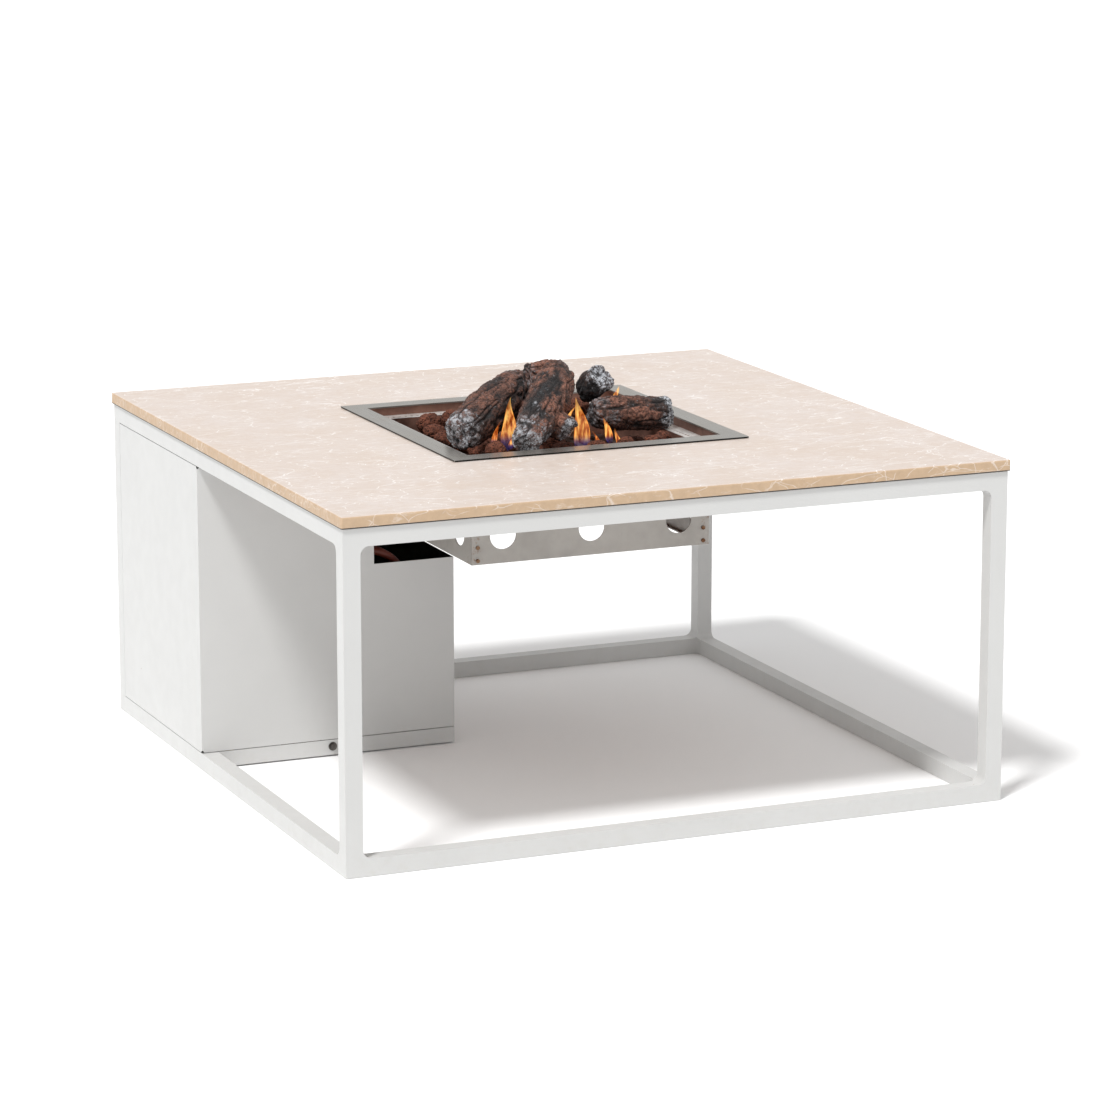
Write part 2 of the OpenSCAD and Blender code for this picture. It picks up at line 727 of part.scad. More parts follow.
module control_knob() {
    color("black") difference() {
        union() {
            along_x([knob_back, knob_y, control_z], 5, knob_d / 2);
            along_x([knob_back + 5 - eps, knob_y, control_z], knob_deep - 5, knob_d / 2 - 5);
            translate([knob_back + 5 - eps, knob_y - 4, control_z - knob_d / 2 + 3])
                cube([knob_deep - 2, 8, knob_d - 6]);
        }
        difference() {
            along_x([knob_back - 1, knob_y, control_z], 18, spindle_d / 2 + 0.02);
            translate([knob_back + 2, knob_y - 5, control_z + spindle_d / 2 - 0.98]) cube([20, 10, 5]);
        }
    }
}

button_in = right_face - 6;
module igniter_body() {
    color("black") difference() {
        union() {
            along_x([right_face - 26, button_y, control_z], 26 + plate_t, 8);
            along_x([right_face + plate_t, button_y, control_z], 2, 11);
        }
        along_x([button_in - 6, button_y, control_z], 20, button_d / 2 + running);
    }
}

module igniter_button() {
    color("red") along_x([button_in, button_y, control_z], right_face + 10 - button_in, button_d / 2);
}

// The pipe runs from the valve's side, round one bend, along X, and up to the jet.
module feed_pipe() {
    r = 4;
    bend = mix_bottom - 8 - control_z;
    x1 = valve_in - outlet_in;
    color("goldenrod") {
        along_y([x1, burner_y + bend, control_z], knob_y - 20 - burner_y - bend, r);
        translate([x1 - bend, burner_y + bend, control_z]) rotate([0, 0, -90])
            rotate_extrude(angle = 90) translate([bend, 0]) circle(r);
        along_x([burner_x + bend, burner_y, control_z], x1 - bend - burner_x - bend, r);
        translate([burner_x + bend, burner_y, control_z + bend]) rotate([90, 0, 0]) rotate([0, 0, 180])
            rotate_extrude(angle = 90) translate([bend, 0]) circle(r);
    }
}

module sensor_lead() { color("peru") swept(sensor_route, even(sensor_route, 1.2), 8); }
module igniter_lead() { color("black") swept(spark_route, even(spark_route, 1.5), 8); }

// ---- gas cabinet ----

// One folded sheet: the left panel, the front panel with its notch, and the stepped right wall.
module cabinet_hood() {
    t = cab_sheet;
    back = fh - tube - panel_gap;
    relief = 2;
    color("whitesmoke") difference() {
        union() {
            box([cab_left, cabinet_front, cab_bottom], [cab_left + t, back, cab_top]);
            box([cab_left, cabinet_front, cab_bottom], [notch_x, cabinet_front + t, cab_top]);
            box([cab_left, cabinet_front, cab_bottom], [cab_right, cabinet_front + t, notch_z]);
            box([cab_right - t, cabinet_front, cab_bottom], [cab_right, door_out - door_deep - 0.5, notch_z]);
            box([cab_right - t, notch_y, cab_bottom], [cab_right, door_out - door_deep - 0.5, cab_top]);
            box([cab_left, back - t, cab_bottom], [cab_left + 17, back, cab_top]);
            box([cab_right - 22, door_out - door_deep - 0.5 - t, cab_bottom],
                [cab_right, door_out - door_deep - 0.5, cab_top]);
        }
        for (z = [cab_bottom, cab_top])
            translate([cab_left + 0.5, cabinet_front + 0.5, z - 1.5]) cylinder(h = 3, r = relief);
    }
}

lip_top = tube;
module cabinet_tray() {
    t = cab_sheet;
    x1 = -fh + tube + 0.5;
    y2 = fh - tube - 0.5;
    color("whitesmoke") difference() {
        box([x1, cabinet_front, 2], [cab_right, y2, lip_top]);
        box([x1 + t, cabinet_front + t, 2 + t], [cab_right - t, y2 - t, lip_top + 1]);
        for (x = tray_screw_x) along_y([x, cabinet_front - 1, tray_screw_z], 4, 3.3);
    }
}

tray_screw_x = [-294];
tray_screw_z = 15;
plate_y = cabinet_front + cab_sheet;
// Each screw passes through the tray's lip into a nut plate that also stands behind the hood.
module tray_screws() {
    color("dimgray")
        for (x = tray_screw_x) {
            along_y([x, cabinet_front - 1.2, tray_screw_z], 1.2, 6.5);
            along_y([x, cabinet_front - 4, tray_screw_z], 2.8 + eps, 4.5);
            along_y([x, cabinet_front - 1.2, tray_screw_z], 6, 3);
            translate([x - 12, plate_y, 5]) cube([24, 2, 36]);
        }
}

door_left = axis_x + 1.5;
door_z0 = cab_bottom + 1;
door_z1 = cab_top - 1;
module cabinet_door() {
    t = 1.5;
    color("whitesmoke") {
        difference() {
            box([door_left, door_out - door_deep, door_z0], [cab_right, door_out, door_z1]);
            box([door_left + t, door_out - door_deep - 1, door_z0 + t], [cab_right - t, door_out - t, door_z1 - t]);
        }
        along_y([cab_right - 30, door_out - eps, 240], 6, 9);
    }
}

// A lift-off hinge: the lower knuckle belongs to the frame and the upper one to the door.
module hinge_leaves_fixed() {
    color("silver")
        for (z = hinge_z) translate([0, 0, z]) {
            difference() {
                union() {
                    box([-fh + tube, door_out - door_deep, 0], [-fh + tube + 1.5, door_out - 0.5, 2 * knuckle_h]);
                    box([-fh + tube, door_out - 1, 0], [-fh + tube + 1.5, axis_y, knuckle_h - 0.3]);
                    translate([axis_x, axis_y, 0]) cylinder(h = knuckle_h - 0.3, r = knuckle_r);
                }
                translate([axis_x, axis_y, -1]) cylinder(h = knuckle_h + 2, d = pin_d + 0.02);
            }
        }
}

module hinge_leaves_door() {
    color("silver")
        for (z = hinge_z) translate([0, 0, z]) {
            difference() {
                union() {
                    box([axis_x + 6.5, door_out, 0], [axis_x + 30, door_out + 1.5, 2 * knuckle_h]);
                    box([axis_x, door_out, knuckle_h], [axis_x + 7, door_out + 1.5, 2 * knuckle_h]);
                    translate([axis_x, axis_y, knuckle_h]) cylinder(h = knuckle_h, r = knuckle_r);
                }
                translate([axis_x, axis_y, knuckle_h - 1]) cylinder(h = knuckle_h + 2, d = pin_d + 2 * running);
            }
        }
}

module hinge_pins() {
    color("gray")
        for (z = hinge_z) translate([axis_x, axis_y, z]) cylinder(h = 2 * knuckle_h, d = pin_d);
}

module door_magnet() {
    y0 = door_out - door_deep - 0.5;
    y1 = door_out - 1.5 - 0.3;
    color("dimgray") {
        box([cab_right - 20, y0, 300], [cab_right - 7, y1 - 1, 345]);
        for (x = [-17, -12]) box([cab_right + x, y1 - 2, 304], [cab_right + x + 2.5, y1, 341]);
    }
}

// ---- hose ----

// Two hangers under the tray, the rubber grommet in the vent hole and the peg for the coil.
hangers = [[burner_x + 37, knob_y, control_z], [left_face + 27, hose_y, vent_z]];
peg_r = 4;
hose_clear = 0.3;
peg_z = coil_z + coil_r - 12;
module hose_supports() {
    r = hose_d / 2 + hose_clear;
    under_tray = tray_floor - sheet;
    color("dimgray") {
        for (h = hangers) {
            difference() {
                union() {
                    along_x(h - [4, 0, 0], 8, r + 2);
                    box([h[0] - 4, h[1] - 1.5, h[2] + r], [h[0] + 4, h[1] + 1.5, under_tray]);
                    box([h[0] - 8, h[1] - 8, under_tray - 1.5], [h[0] + 8, h[1] + 8, under_tray]);
                }
                along_x(h - [5, 0, 0], 10, r);
            }
        }
        difference() {
            union() {
                along_x([left_face - 3, hose_y, vent_z], 3, vent_d / 2 + 4);
                along_x([left_face - eps, hose_y, vent_z], sheet + 2 * eps, vent_d / 2 - 0.1);
                along_x([left_face + sheet, hose_y, vent_z], 3, vent_d / 2 + 4);
            }
            along_x([left_face - 5, hose_y, vent_z], 20, r);
        }
        along_y([coil_x - 8, cabinet_front + cab_sheet, peg_z], 60, peg_r);
        along_y([coil_x - 8, cabinet_front + cab_sheet, peg_z], 2, 7.5);
    }
}

module gas_hose_tubes() {
    color("orangered") {
        swept(hose_in, even(hose_in, hose_d / 2), 10);
        swept(hose_out, even(hose_out, hose_d / 2), 10);
    }
}

module gas_hose_coil() {
    color("orangered")
        translate([coil_x, coil_y[0] - hose_d / 2, coil_z]) rotate([-90, 0, 0]) rotate_extrude()
            translate([coil_r - hose_d / 2, 0]) square([hose_d, coil_y[1] - coil_y[0] + hose_d]);
}

module gas_regulator() {
    color("silver") difference() {
        union() {
            translate([reg_x, reg_y, reg_z]) cylinder(h = 22, r = 27);
            translate([reg_x, reg_y, reg_z + 22 - eps]) cylinder(h = 10, r = 19);
            along_x([reg_x + 20, reg_y, reg_tail_z], reg_tail - reg_x - 20, 6);
            along_x([reg_x - 40, reg_y, stem_z], 20, 7);
            along_x([reg_x - 54, reg_y, stem_z], 14 + eps, 5);
            along_x([reg_x - 56, reg_y, stem_z], 2 + eps, 6.5);
        }
        along_x([reg_x - 57, reg_y, stem_z], 30, 3);
    }
}

module regulator_nut() {
    color("goldenrod") difference() {
        along_x([reg_x - 53.6, reg_y, stem_z], 13.2, 13, $fn = 6);
        along_x([reg_x - 60, reg_y, stem_z], 30, 5 + running);
    }
}

leg_front_left();
leg_front_right();
leg_back_left();
leg_back_right();
base_rail_front();
base_rail_back();
base_rail_left();
base_rail_right();
top_rail_front();
top_rail_back();
top_rail_left();
top_rail_right();
crossbar_front();
crossbar_back();
corner_welds();
foot_plugs();
rubber_strips();
stone_top();
trim_gasket();
trim_surround();
burner_tray();
rock_grate();
burner_ring();
mixing_tube();
gas_jet();
flame_sensor();
spark_electrode();
lava_rocks();
log_left();
log_forked();
log_stub();
log_right();
housing_front();
housing_back();
housing_left();
housing_right();
housing_screws();
control_plate();
gas_valve();
valve_plunger();
valve_spindle();
control_knob();
igniter_body();
igniter_button();
feed_pipe();
sensor_lead();
igniter_lead();
cabinet_hood();
cabinet_tray();
tray_screws();
cabinet_door();
hinge_leaves_fixed();
hinge_leaves_door();
hinge_pins();
door_magnet();
hose_supports();
gas_hose_tubes();
gas_hose_coil();
gas_regulator();
regulator_nut();
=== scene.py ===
"""A square gas fire table: its looks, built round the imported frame.

Everything is in metres. +Z is up, the open front faces -Y and the gas cabinet stands at -X, +Y.
"""

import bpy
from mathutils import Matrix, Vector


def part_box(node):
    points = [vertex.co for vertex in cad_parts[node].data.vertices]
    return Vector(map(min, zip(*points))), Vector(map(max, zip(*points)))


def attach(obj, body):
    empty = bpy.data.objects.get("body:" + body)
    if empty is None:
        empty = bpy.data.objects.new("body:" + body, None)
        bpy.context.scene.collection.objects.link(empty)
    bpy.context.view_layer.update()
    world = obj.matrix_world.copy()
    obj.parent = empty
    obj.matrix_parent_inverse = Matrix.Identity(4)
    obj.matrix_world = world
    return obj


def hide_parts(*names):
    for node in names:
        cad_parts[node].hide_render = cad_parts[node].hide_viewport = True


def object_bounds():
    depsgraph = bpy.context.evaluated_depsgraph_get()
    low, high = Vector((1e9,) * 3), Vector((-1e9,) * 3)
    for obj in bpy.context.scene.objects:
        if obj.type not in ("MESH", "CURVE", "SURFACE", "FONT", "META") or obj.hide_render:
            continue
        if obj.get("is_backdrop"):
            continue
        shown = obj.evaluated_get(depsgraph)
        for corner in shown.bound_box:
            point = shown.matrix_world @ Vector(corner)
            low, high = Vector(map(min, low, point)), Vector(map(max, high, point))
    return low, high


bl_info = {
    "name": "Stone fire table",
    "version": (1, 0, 0),
    "blender": (4, 5, 0),
    "location": "3D View > Sidebar > Fire table",
    "description": "Builds the looks of a square gas fire table round its packed frame",
    "category": "Object",
}

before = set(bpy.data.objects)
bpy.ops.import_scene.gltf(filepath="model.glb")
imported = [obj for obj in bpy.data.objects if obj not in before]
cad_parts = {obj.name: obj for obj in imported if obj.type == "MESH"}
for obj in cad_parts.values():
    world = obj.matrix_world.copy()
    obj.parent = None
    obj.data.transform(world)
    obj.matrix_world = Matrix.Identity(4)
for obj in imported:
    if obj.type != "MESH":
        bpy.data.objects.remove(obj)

import math

import bmesh
import bpy
import numpy as np
from mathutils import Vector, noise

CAD_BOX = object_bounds()
MM = 0.001
UP = Vector((0, 0, 1))

# Places that the looks need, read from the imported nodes.
STONE_LOW, STONE_HIGH = [Vector(c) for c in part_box("stone_top")]
LEG_LOW, LEG_HIGH = [Vector(c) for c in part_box("leg_front_left")]
TRIM_LOW, TRIM_HIGH = [Vector(c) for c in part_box("trim_surround")]
HOOD_LOW, HOOD_HIGH = [Vector(c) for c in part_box("cabinet_hood")]
DOOR_HIGH = Vector(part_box("cabinet_door")[1])
TRAY_HIGH = Vector(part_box("burner_tray")[1])
WALL_HIGH = Vector(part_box("housing_front")[1])
TUBE = LEG_HIGH.x - LEG_LOW.x
HALF = -LEG_LOW.x
BURNER = (TRIM_LOW + TRIM_HIGH) / 2
BURNER.z = TRIM_HIGH.z

# Centre lines of the logs from BURNER, in millimetres: across, back, up and radius.
LOG_LINES = {
    "log_left": [(-168, -98, 11, 24), (-146, -76, 15, 29), (-100, -36, 27, 33), (-56, 4, 37, 33),
                 (-8, 50, 44, 28)],
    "log_forked": [(-95, -165, 4, 19), (-66, -132, 22, 26), (-33, -94, 42, 29), (-4, -51, 57, 31),
                   (15, -13, 68, 29)],
    "log_stub": [(70, 2, 35, 17), (77, -12, 50, 21), (85, -28, 65, 21)],
    "log_right": [(62, -46, 15, 20), (100, -44, 12, 24), (150, -50, 10, 24), (182, -54, 9.5, 22)],
}
# The forked log's lower prong and the blunt knob beside its head.
FORK_LINES = [
    [(-36, -102, 31, 20), (-27, -117, 19, 20), (-14, -131, 8, 18)],
    [(6, -16, 69, 22), (-12, -22, 72, 20), (-32, -29, 74, 18)],
]

# The hose's route in millimetres: from the valve to the coil, and from the coil to the regulator.
HOSE_IN = [
    (136, 100, 368), (110, 100, 368), (70, 100, 368), (30, 100, 368), (0, 101, 368.1),
    (-30, 108.1, 369.1), (-60, 122, 371), (-90, 138.3, 373.3), (-120, 147.9, 374.6),
    (-150, 151, 375), (-190, 151, 375), (-228, 151, 375), (-251, 151, 370.4),
    (-270.4, 151, 357.4), (-283.4, 151, 338), (-288, 151, 315), (-288, 151, 290), (-288, 151, 265),
]
HOSE_OUT = [
    (-288, 126, 195), (-288, 126, 150), (-288, 126, 105), (-288, 126, 66), (-291, 126, 48),
    (-299, 126.5, 33), (-311, 128, 21.5), (-327, 130.5, 15), (-343, 133.5, 13.5), (-354, 136, 15),
    (-366, 136, 15),
]
COIL_CENTRE = (-228, 240)
COIL_START, COIL_END = 151, 126
COIL_TURNS = 2
COIL_STEPS = 24  # points in each turn
HOSE_SAMPLES = 6  # per point of the route, where its length is measured

FLOOR_SIZE = 60
FLOOR_DROP = 0.4 * MM  # keeps the floor clear of the rails' undersides
SENSOR_WIDTH = 36
SUN_FROM = Vector((-1.0, -0.72, 2.05))

PASS = 10 * MM  # how far a cutting block goes past what it cuts
PLUG_WALL = 1.5 * MM
PLUG_DEPTH = 16 * MM

BAR_RINGS = 40
BAR_SIDES = 40
END_PULL = (0.82, 0.93, 0.98)  # the last rings of a bar, as shares of its radius
WAY_SAMPLES = 60
BATCH = 4000  # vertices whose distances are worked out at once
END_CHIP = 7 * MM
NOISE_SEED = 7  # without it, the noise vectors would differ from run to run

ROCKS_SPLIT = 40 * MM  # how far left of the burner's middle the left group of rocks ends
ROCKS_SEEN = 30 * MM  # rocks that reach closer than this to the trim's face are modelled finely


# ---- shader maths ----


class Value:
    """A socket that carries a number, for use in Python expressions."""

    def __init__(self, paint, socket):
        self.paint = paint
        self.socket = socket

    def __add__(self, other):
        return self.paint.maths("ADD", self, other)

    def __sub__(self, other):
        return self.paint.maths("SUBTRACT", self, other)

    def __rsub__(self, other):
        return self.paint.maths("SUBTRACT", other, self)

    def __mul__(self, other):
        return self.paint.maths("MULTIPLY", self, other)

    def __lt__(self, other):
        return self.paint.maths("LESS_THAN", self, other)

    def __gt__(self, other):
        return self.paint.maths("GREATER_THAN", self, other)

    def __abs__(self):
        return self.paint.maths("ABSOLUTE", self, 0.0)

    __radd__ = __add__

    def top(self, other):
        return self.paint.maths("MAXIMUM", self, other)

    def rise(self, low, high, to_low=0.0, to_high=1.0):
        """Goes smoothly from to_low to to_high while the value goes from low to high."""
        node = self.paint.node(
            "ShaderNodeMapRange",
            {"interpolation_type": "SMOOTHSTEP"},
            {"Value": self, "From Min": low, "From Max": high, "To Min": to_low, "To Max": to_high},
        )
        return Value(self.paint, node.outputs[0])


def opaque(colour):
    """A plain colour with an alpha of 1; sockets and numbers are left as they are."""
    if isinstance(colour, (bpy.types.NodeSocket, Value, float, int)) or len(colour) != 3:
        return colour
    return (*colour, 1.0)


def shade(colour, share):
    """The colour made darker, or lighter where share is above 1."""
    return [part * share for part in colour]


class Paint:
    """One material while its nodes are laid out. Patterns lie in Object coordinates."""

    def __init__(self, name):
        self.material = bpy.data.materials.new(name)
        self.material.use_nodes = True
        self.tree = self.material.node_tree
        self.tree.nodes.clear()
        self.place = self.node("ShaderNodeTexCoord").outputs["Object"]

    def node(self, kind, settings=None, inputs=None):
        """Adds a node: its settings first, then the values or links of its sockets."""
        node = self.tree.nodes.new(kind)
        for name, setting in (settings or {}).items():
            if name == "stops":
                self.set_stops(node.color_ramp, setting)
            else:
                setattr(node, name, setting)
        for name, value in (inputs or {}).items():
            socket = node.inputs[name]
            if isinstance(value, Value):
                value = value.socket
            if isinstance(value, bpy.types.NodeSocket):
                self.tree.links.new(value, socket)
            else:
                socket.default_value = value
        return node

    def set_stops(self, ramp, stops):
        while len(ramp.elements) < len(stops):
            ramp.elements.new(0.5)
        for element, (position, colour) in zip(ramp.elements, stops):
            element.position = position
            element.color = opaque(colour)

    def maths(self, operation, a, b):
        node = self.node("ShaderNodeMath", {"operation": operation}, {0: a, 1: b})
        return Value(self, node.outputs[0])

    def axes(self):
        """The three Object coordinates, as numbers."""
        node = self.node("ShaderNodeSeparateXYZ", None, {0: self.place})
        return [Value(self, socket) for socket in node.outputs]

    def scaled(self, x, y, z):
        """Object coordinates stretched along the axes."""
        settings = {"operation": "MULTIPLY"}
        return self.node("ShaderNodeVectorMath", settings, {0: self.place, 1: (x, y, z)}).outputs[0]

    def turned(self, x, y, z, scale=(1, 1, 1)):
        """Object coordinates turned by degrees about the axes."""
        turn = [math.radians(a) for a in (x, y, z)]
        inputs = {"Vector": self.place, "Rotation": turn, "Scale": scale}
        return self.node("ShaderNodeMapping", None, inputs).outputs[0]

    def wandering(self, at, scale, amount):
        """A place moved about by noise."""
        drift = self.node("ShaderNodeTexNoise", None, {"Vector": at, "Scale": scale, "Detail": 3.0})
        settings = {"operation": "MULTIPLY_ADD"}
        inputs = {0: drift.outputs["Color"], 1: (amount,) * 3, 2: at}
        return self.node("ShaderNodeVectorMath", settings, inputs).outputs[0]

    def noise(self, scale, detail=3.0, rough=0.5, at=None):
        inputs = {"Vector": at or self.place, "Scale": scale, "Detail": detail, "Roughness": rough}
        return Value(self, self.node("ShaderNodeTexNoise", None, inputs).outputs[0])

    def cells(self, scale, feature="F1", at=None):
        inputs = {"Vector": at or self.place, "Scale": scale}
        node = self.node("ShaderNodeTexVoronoi", {"feature": feature}, inputs)
        return Value(self, node.outputs["Distance"])

    def attribute(self, name):
        node = self.node("ShaderNodeAttribute", {"attribute_name": name})
        return Value(self, node.outputs["Fac"])

    def ramp(self, value, stops):
        return self.node("ShaderNodeValToRGB", {"stops": stops}, {"Fac": value}).outputs["Color"]

    def mix(self, share, a, b):
        """Colour a, going over to colour b as share goes from 0 to 1."""
        inputs = {0: share, 6: opaque(a), 7: opaque(b)}
        return self.node("ShaderNodeMix", {"data_type": "RGBA"}, inputs).outputs[2]

    def bump(self, height, depth):
        """Relief of the given depth in metres."""
        inputs = {"Height": height, "Distance": depth, "Strength": 1.0}
        return self.node("ShaderNodeBump", None, inputs).outputs[0]

    def surface(self, **inputs):
        """Ends the material with a Principled surface; names use _ for a space."""
        named = {name.replace("_", " "): value for name, value in inputs.items()}
        shader = self.node("ShaderNodeBsdfPrincipled", None, named)
        self.node("ShaderNodeOutputMaterial", None, {"Surface": shader.outputs[0]})
        return self.material


# ---- materials ----


def powder_coat(name, colour, paint_inner_shade=False):
    """Sprayed coat: a faint orange peel, soft haze, dust near the floor and a few rust pricks."""
    p = Paint(name)
    x, y, z = p.axes()
    haze = p.noise(7, 4, 0.6)
    base = p.mix(haze.rise(0.3, 0.75), colour, shade(colour, 0.97))
    dust = z.rise(0.0, 0.06, 1.0, 0.0) * p.noise(60, 5, 0.7).rise(0.45, 0.75)
    base = p.mix(dust * 0.14, base, (0.45, 0.41, 0.35))
    scuff = p.cells(140, at=p.scaled(1, 1, 0.25)).rise(0.02, 0.04, 1.0, 0.0)
    base = p.mix(scuff * p.noise(9).rise(0.62, 0.7) * 0.4, base, (0.5, 0.47, 0.43))
    prick = p.cells(11).rise(0.007, 0.013, 1.0, 0.0)
    base = p.mix(prick * p.noise(2.3).rise(0.5, 0.55), base, (0.24, 0.1, 0.04))
    if paint_inner_shade:
        # Painted shade: inside the hood the coat goes near-black, standing in for the shade within the
        # closed cabinet.
        wall = 0.8 * MM
        inside = (x > HOOD_LOW.x + wall) * (y > HOOD_LOW.y + wall) * (x < HOOD_HIGH.x - wall)
        base = p.mix(inside, base, (0.012, 0.011, 0.01))
        # Small relief holes where the folds of the panel's front edge end, painted as near-black discs
        # for the shade seen through them.
        for end in (HOOD_HIGH.z, HOOD_LOW.z):
            gaps = [x - HOOD_LOW.x, y - HOOD_LOW.y, z - end]
            far = sum(gap * gap for gap in gaps)
            base = p.mix(far < (3.2 * MM) ** 2, base, (0.01, 0.01, 0.01))
    rough = p.noise(40, 3).rise(0.3, 0.7, 0.36, 0.46)
    peel = p.bump(p.noise(850, 2), 0.00007)
    return p.surface(Base_Color=base, Roughness=rough, Normal=peel, Specular_IOR_Level=0.4)


def cream_stone(name, colour, edge_colour, vein_colour):
    """Polished limestone-like top: clouds, fine grain and hairline veins; the edges are tanner."""
    p = Paint(name)
    x, y, z = p.axes()
    half = STONE_HIGH.x
    edge = abs(x).top(abs(y)).rise(half - 1.6 * MM, half - 0.6 * MM)
    clouds = p.noise(9, 6, 0.62)
    cloudy = [c * k for c, k in zip(colour, (0.95, 0.91, 0.86))]
    base = p.mix(clouds.rise(0.3, 0.72), colour, cloudy)
    blotch = p.noise(70, 5, 0.7)
    blotchy = [c * k for c, k in zip(colour, (0.93, 0.87, 0.8))]
    base = p.mix(blotch.rise(0.42, 0.7) * 0.55, base, blotchy)
    tan = p.mix(blotch.rise(0.3, 0.7), edge_colour, shade(edge_colour, 0.88))
    base = p.mix(edge, base, tan)
    grain = p.noise(900, 3, 0.7).rise(0.3, 0.7)
    base = p.mix(grain * 0.16, base, shade(edge_colour, 0.72))
    # Heading in degrees, cell scale, width and how rare each set of veins is.
    sets = (33, 6, 0.008, 0.44), (52, 11, 0.013, 0.48), (-40, 14, 0.013, 0.55), (20, 27, 0.03, 0.48)
    veins = None
    for turn, scale, width, need in sets:
        at = p.wandering(p.turned(0, 0, turn, (1, 3.0, 1.8)), 6, 0.1)
        at = p.wandering(at, 60, 0.007)
        line = p.cells(scale, "DISTANCE_TO_EDGE", at).rise(0.0, width, 1.0, 0.0)
        line = line * p.noise(scale * 1.1, 3, at=p.turned(0, 0, turn + 20)).rise(need, need + 0.09)
        veins = line if veins is None else veins.top(line)
    drawn_out = p.wandering(p.turned(0, 0, 33, (26, 70, 60)), 0.6, 0.9)
    wisp = p.noise(1, 6, 0.72, drawn_out).rise(0.56, 0.7)
    base = p.mix(wisp * 0.3, base, vein_colour)
    base = p.mix(veins * (1 - edge * 0.6), base, vein_colour)
    # Painted shadow: a near-black line along the foot of the edge, for the gap between the stone and
    # the frame.
    gap_shadow = edge * z.rise(STONE_LOW.z + 1.0 * MM, STONE_LOW.z + 1.3 * MM, 1.0, 0.0)
    base = p.mix(gap_shadow, base, (0.04, 0.035, 0.03))
    rough = p.noise(120, 4).rise(0.3, 0.7, 0.3, 0.42) + edge * 0.15
    relief = p.bump(grain + veins * 0.5, 0.00004)
    return p.surface(Base_Color=base, Roughness=rough, Normal=relief, Specular_IOR_Level=0.45)


def brushed_trim(name, colour, well_colour):
    """Brushed steel trim, with the inner lip browned by the fire."""
    p = Paint(name)
    x, y, z = p.axes()
    along_x = p.noise(1, 3, at=p.scaled(14, 2600, 2600))
    along_y = p.noise(1, 3, at=p.scaled(2600, 14, 2600))
    # The brushing turns at the mitres.
    side = abs(x - BURNER.x) > abs(y - BURNER.y)
    lines = along_x * (1 - side) + along_y * side
    base = p.mix(lines.rise(0.25, 0.75), colour, shade(colour, 0.78))
    smear = p.noise(18, 4, 0.6)
    base = p.mix(smear.rise(0.45, 0.75) * 0.3, base, (0.42, 0.36, 0.28))
    well = z.rise(TRIM_HIGH.z - 2.6 * MM, TRIM_HIGH.z - 1.4 * MM, 1.0, 0.0)
    stops = [(0.3, shade(well_colour, 0.45)), (0.7, well_colour)]
    burnt = p.ramp(p.noise(26, 5, 0.65), stops)
    base = p.mix(well, base, burnt)
    # Painted shadow along the outer edge, where the trim lies on its gasket: a near-black line for the
    # shade in the gap.
    reach = TRIM_HIGH.x - BURNER.x
    out = abs(x - BURNER.x).top(abs(y - BURNER.y)).rise(reach - 0.5 * MM, reach - 0.2 * MM)
    base = p.mix(out, base, (0.03, 0.03, 0.03))
    rough = lines.rise(0.2, 0.8, 0.24, 0.42) + well * 0.12
    relief = p.bump(lines, 0.00002)
    return p.surface(Base_Color=base, Metallic=1.0, Roughness=rough, Normal=relief)


def heated_steel(name, rim_colour, well_colour):
    """The burner tray: a pale perforated rim and walls browned and sooted by the fire."""
    p = Paint(name)
    z = p.axes()[2]
    stain = p.noise(22, 6, 0.65)
    stops = [(0.25, shade(well_colour, 0.35)), (0.5, well_colour), (0.8, shade(well_colour, 1.5))]
    brown = p.ramp(stain, stops)
    rim = z.rise(TRAY_HIGH.z - 1.0 * MM, TRAY_HIGH.z - 0.3 * MM)
    pale = p.mix(p.noise(35, 4, 0.6).rise(0.45, 0.8) * 0.3, rim_colour, well_colour)
    base = p.mix(rim, brown, pale)
    soot = p.noise(60, 5, 0.7).rise(0.55, 0.8) * (1 - rim)
    base = p.mix(soot * 0.7, base, (0.02, 0.015, 0.012))
    rough = stain.rise(0.3, 0.7, 0.35, 0.6)
    relief = p.bump(p.noise(500, 3), 0.00004)
    return p.surface(Base_Color=base, Metallic=0.85, Roughness=rough, Normal=relief)


def sheet_steel(name, colour):
    """Plain coated sheet with handling scratches, and rust creeping from its corners."""
    p = Paint(name)
    x, y = p.axes()[:2]
    haze = p.noise(14, 5, 0.6)
    base = p.mix(haze.rise(0.3, 0.7), colour, shade(colour, 0.87))
    for turn, scale in ((14, 5), (-32, 7), (71, 4)):
        at = p.wandering(p.turned(turn, turn, turn, (1, 1, 1)), 3, 0.05)
        scratch = p.cells(scale, "DISTANCE_TO_EDGE", at).rise(0.0, 0.004, 1.0, 0.0)
        share = scratch * p.noise(scale * 1.7).rise(0.55, 0.65) * 0.5
        base = p.mix(share, base, shade(colour, 0.55))
    reach = WALL_HIGH.x - BURNER.x
    corner = abs(x - BURNER.x).rise(reach - 22 * MM, reach - 4 * MM)
    corner = corner * abs(y - BURNER.y).rise(reach - 30 * MM, reach - 4 * MM)
    rust = corner * p.noise(150, 5, 0.75).rise(0.55, 0.68)
    base = p.mix(rust * 0.75, base, (0.22, 0.09, 0.03))
    rough = p.noise(80, 4).rise(0.3, 0.7, 0.42, 0.56) + rust * 0.3
    relief = p.bump(p.noise(420, 3) + rust, 0.00005)
    return p.surface(Base_Color=base, Metallic=0.35, Roughness=rough, Normal=relief)


def worn_metal(name, colour, tarnish, roughness=0.32, amount=0.5):
    """Bare or plated metal, dulled in patches."""
    p = Paint(name)
    dull = p.noise(90, 6, 0.7)
    base = p.mix(dull.rise(0.42, 0.7) * amount, colour, tarnish)
    fleck = p.noise(700, 3).rise(0.55, 0.75)
    base = p.mix(fleck * 0.3, base, shade(colour, 0.6))
    rough = dull.rise(0.3, 0.75, roughness, roughness + 0.25)
    relief = p.bump(p.noise(600, 3), 0.00003)
    return p.surface(Base_Color=base, Metallic=0.95, Roughness=rough, Normal=relief)


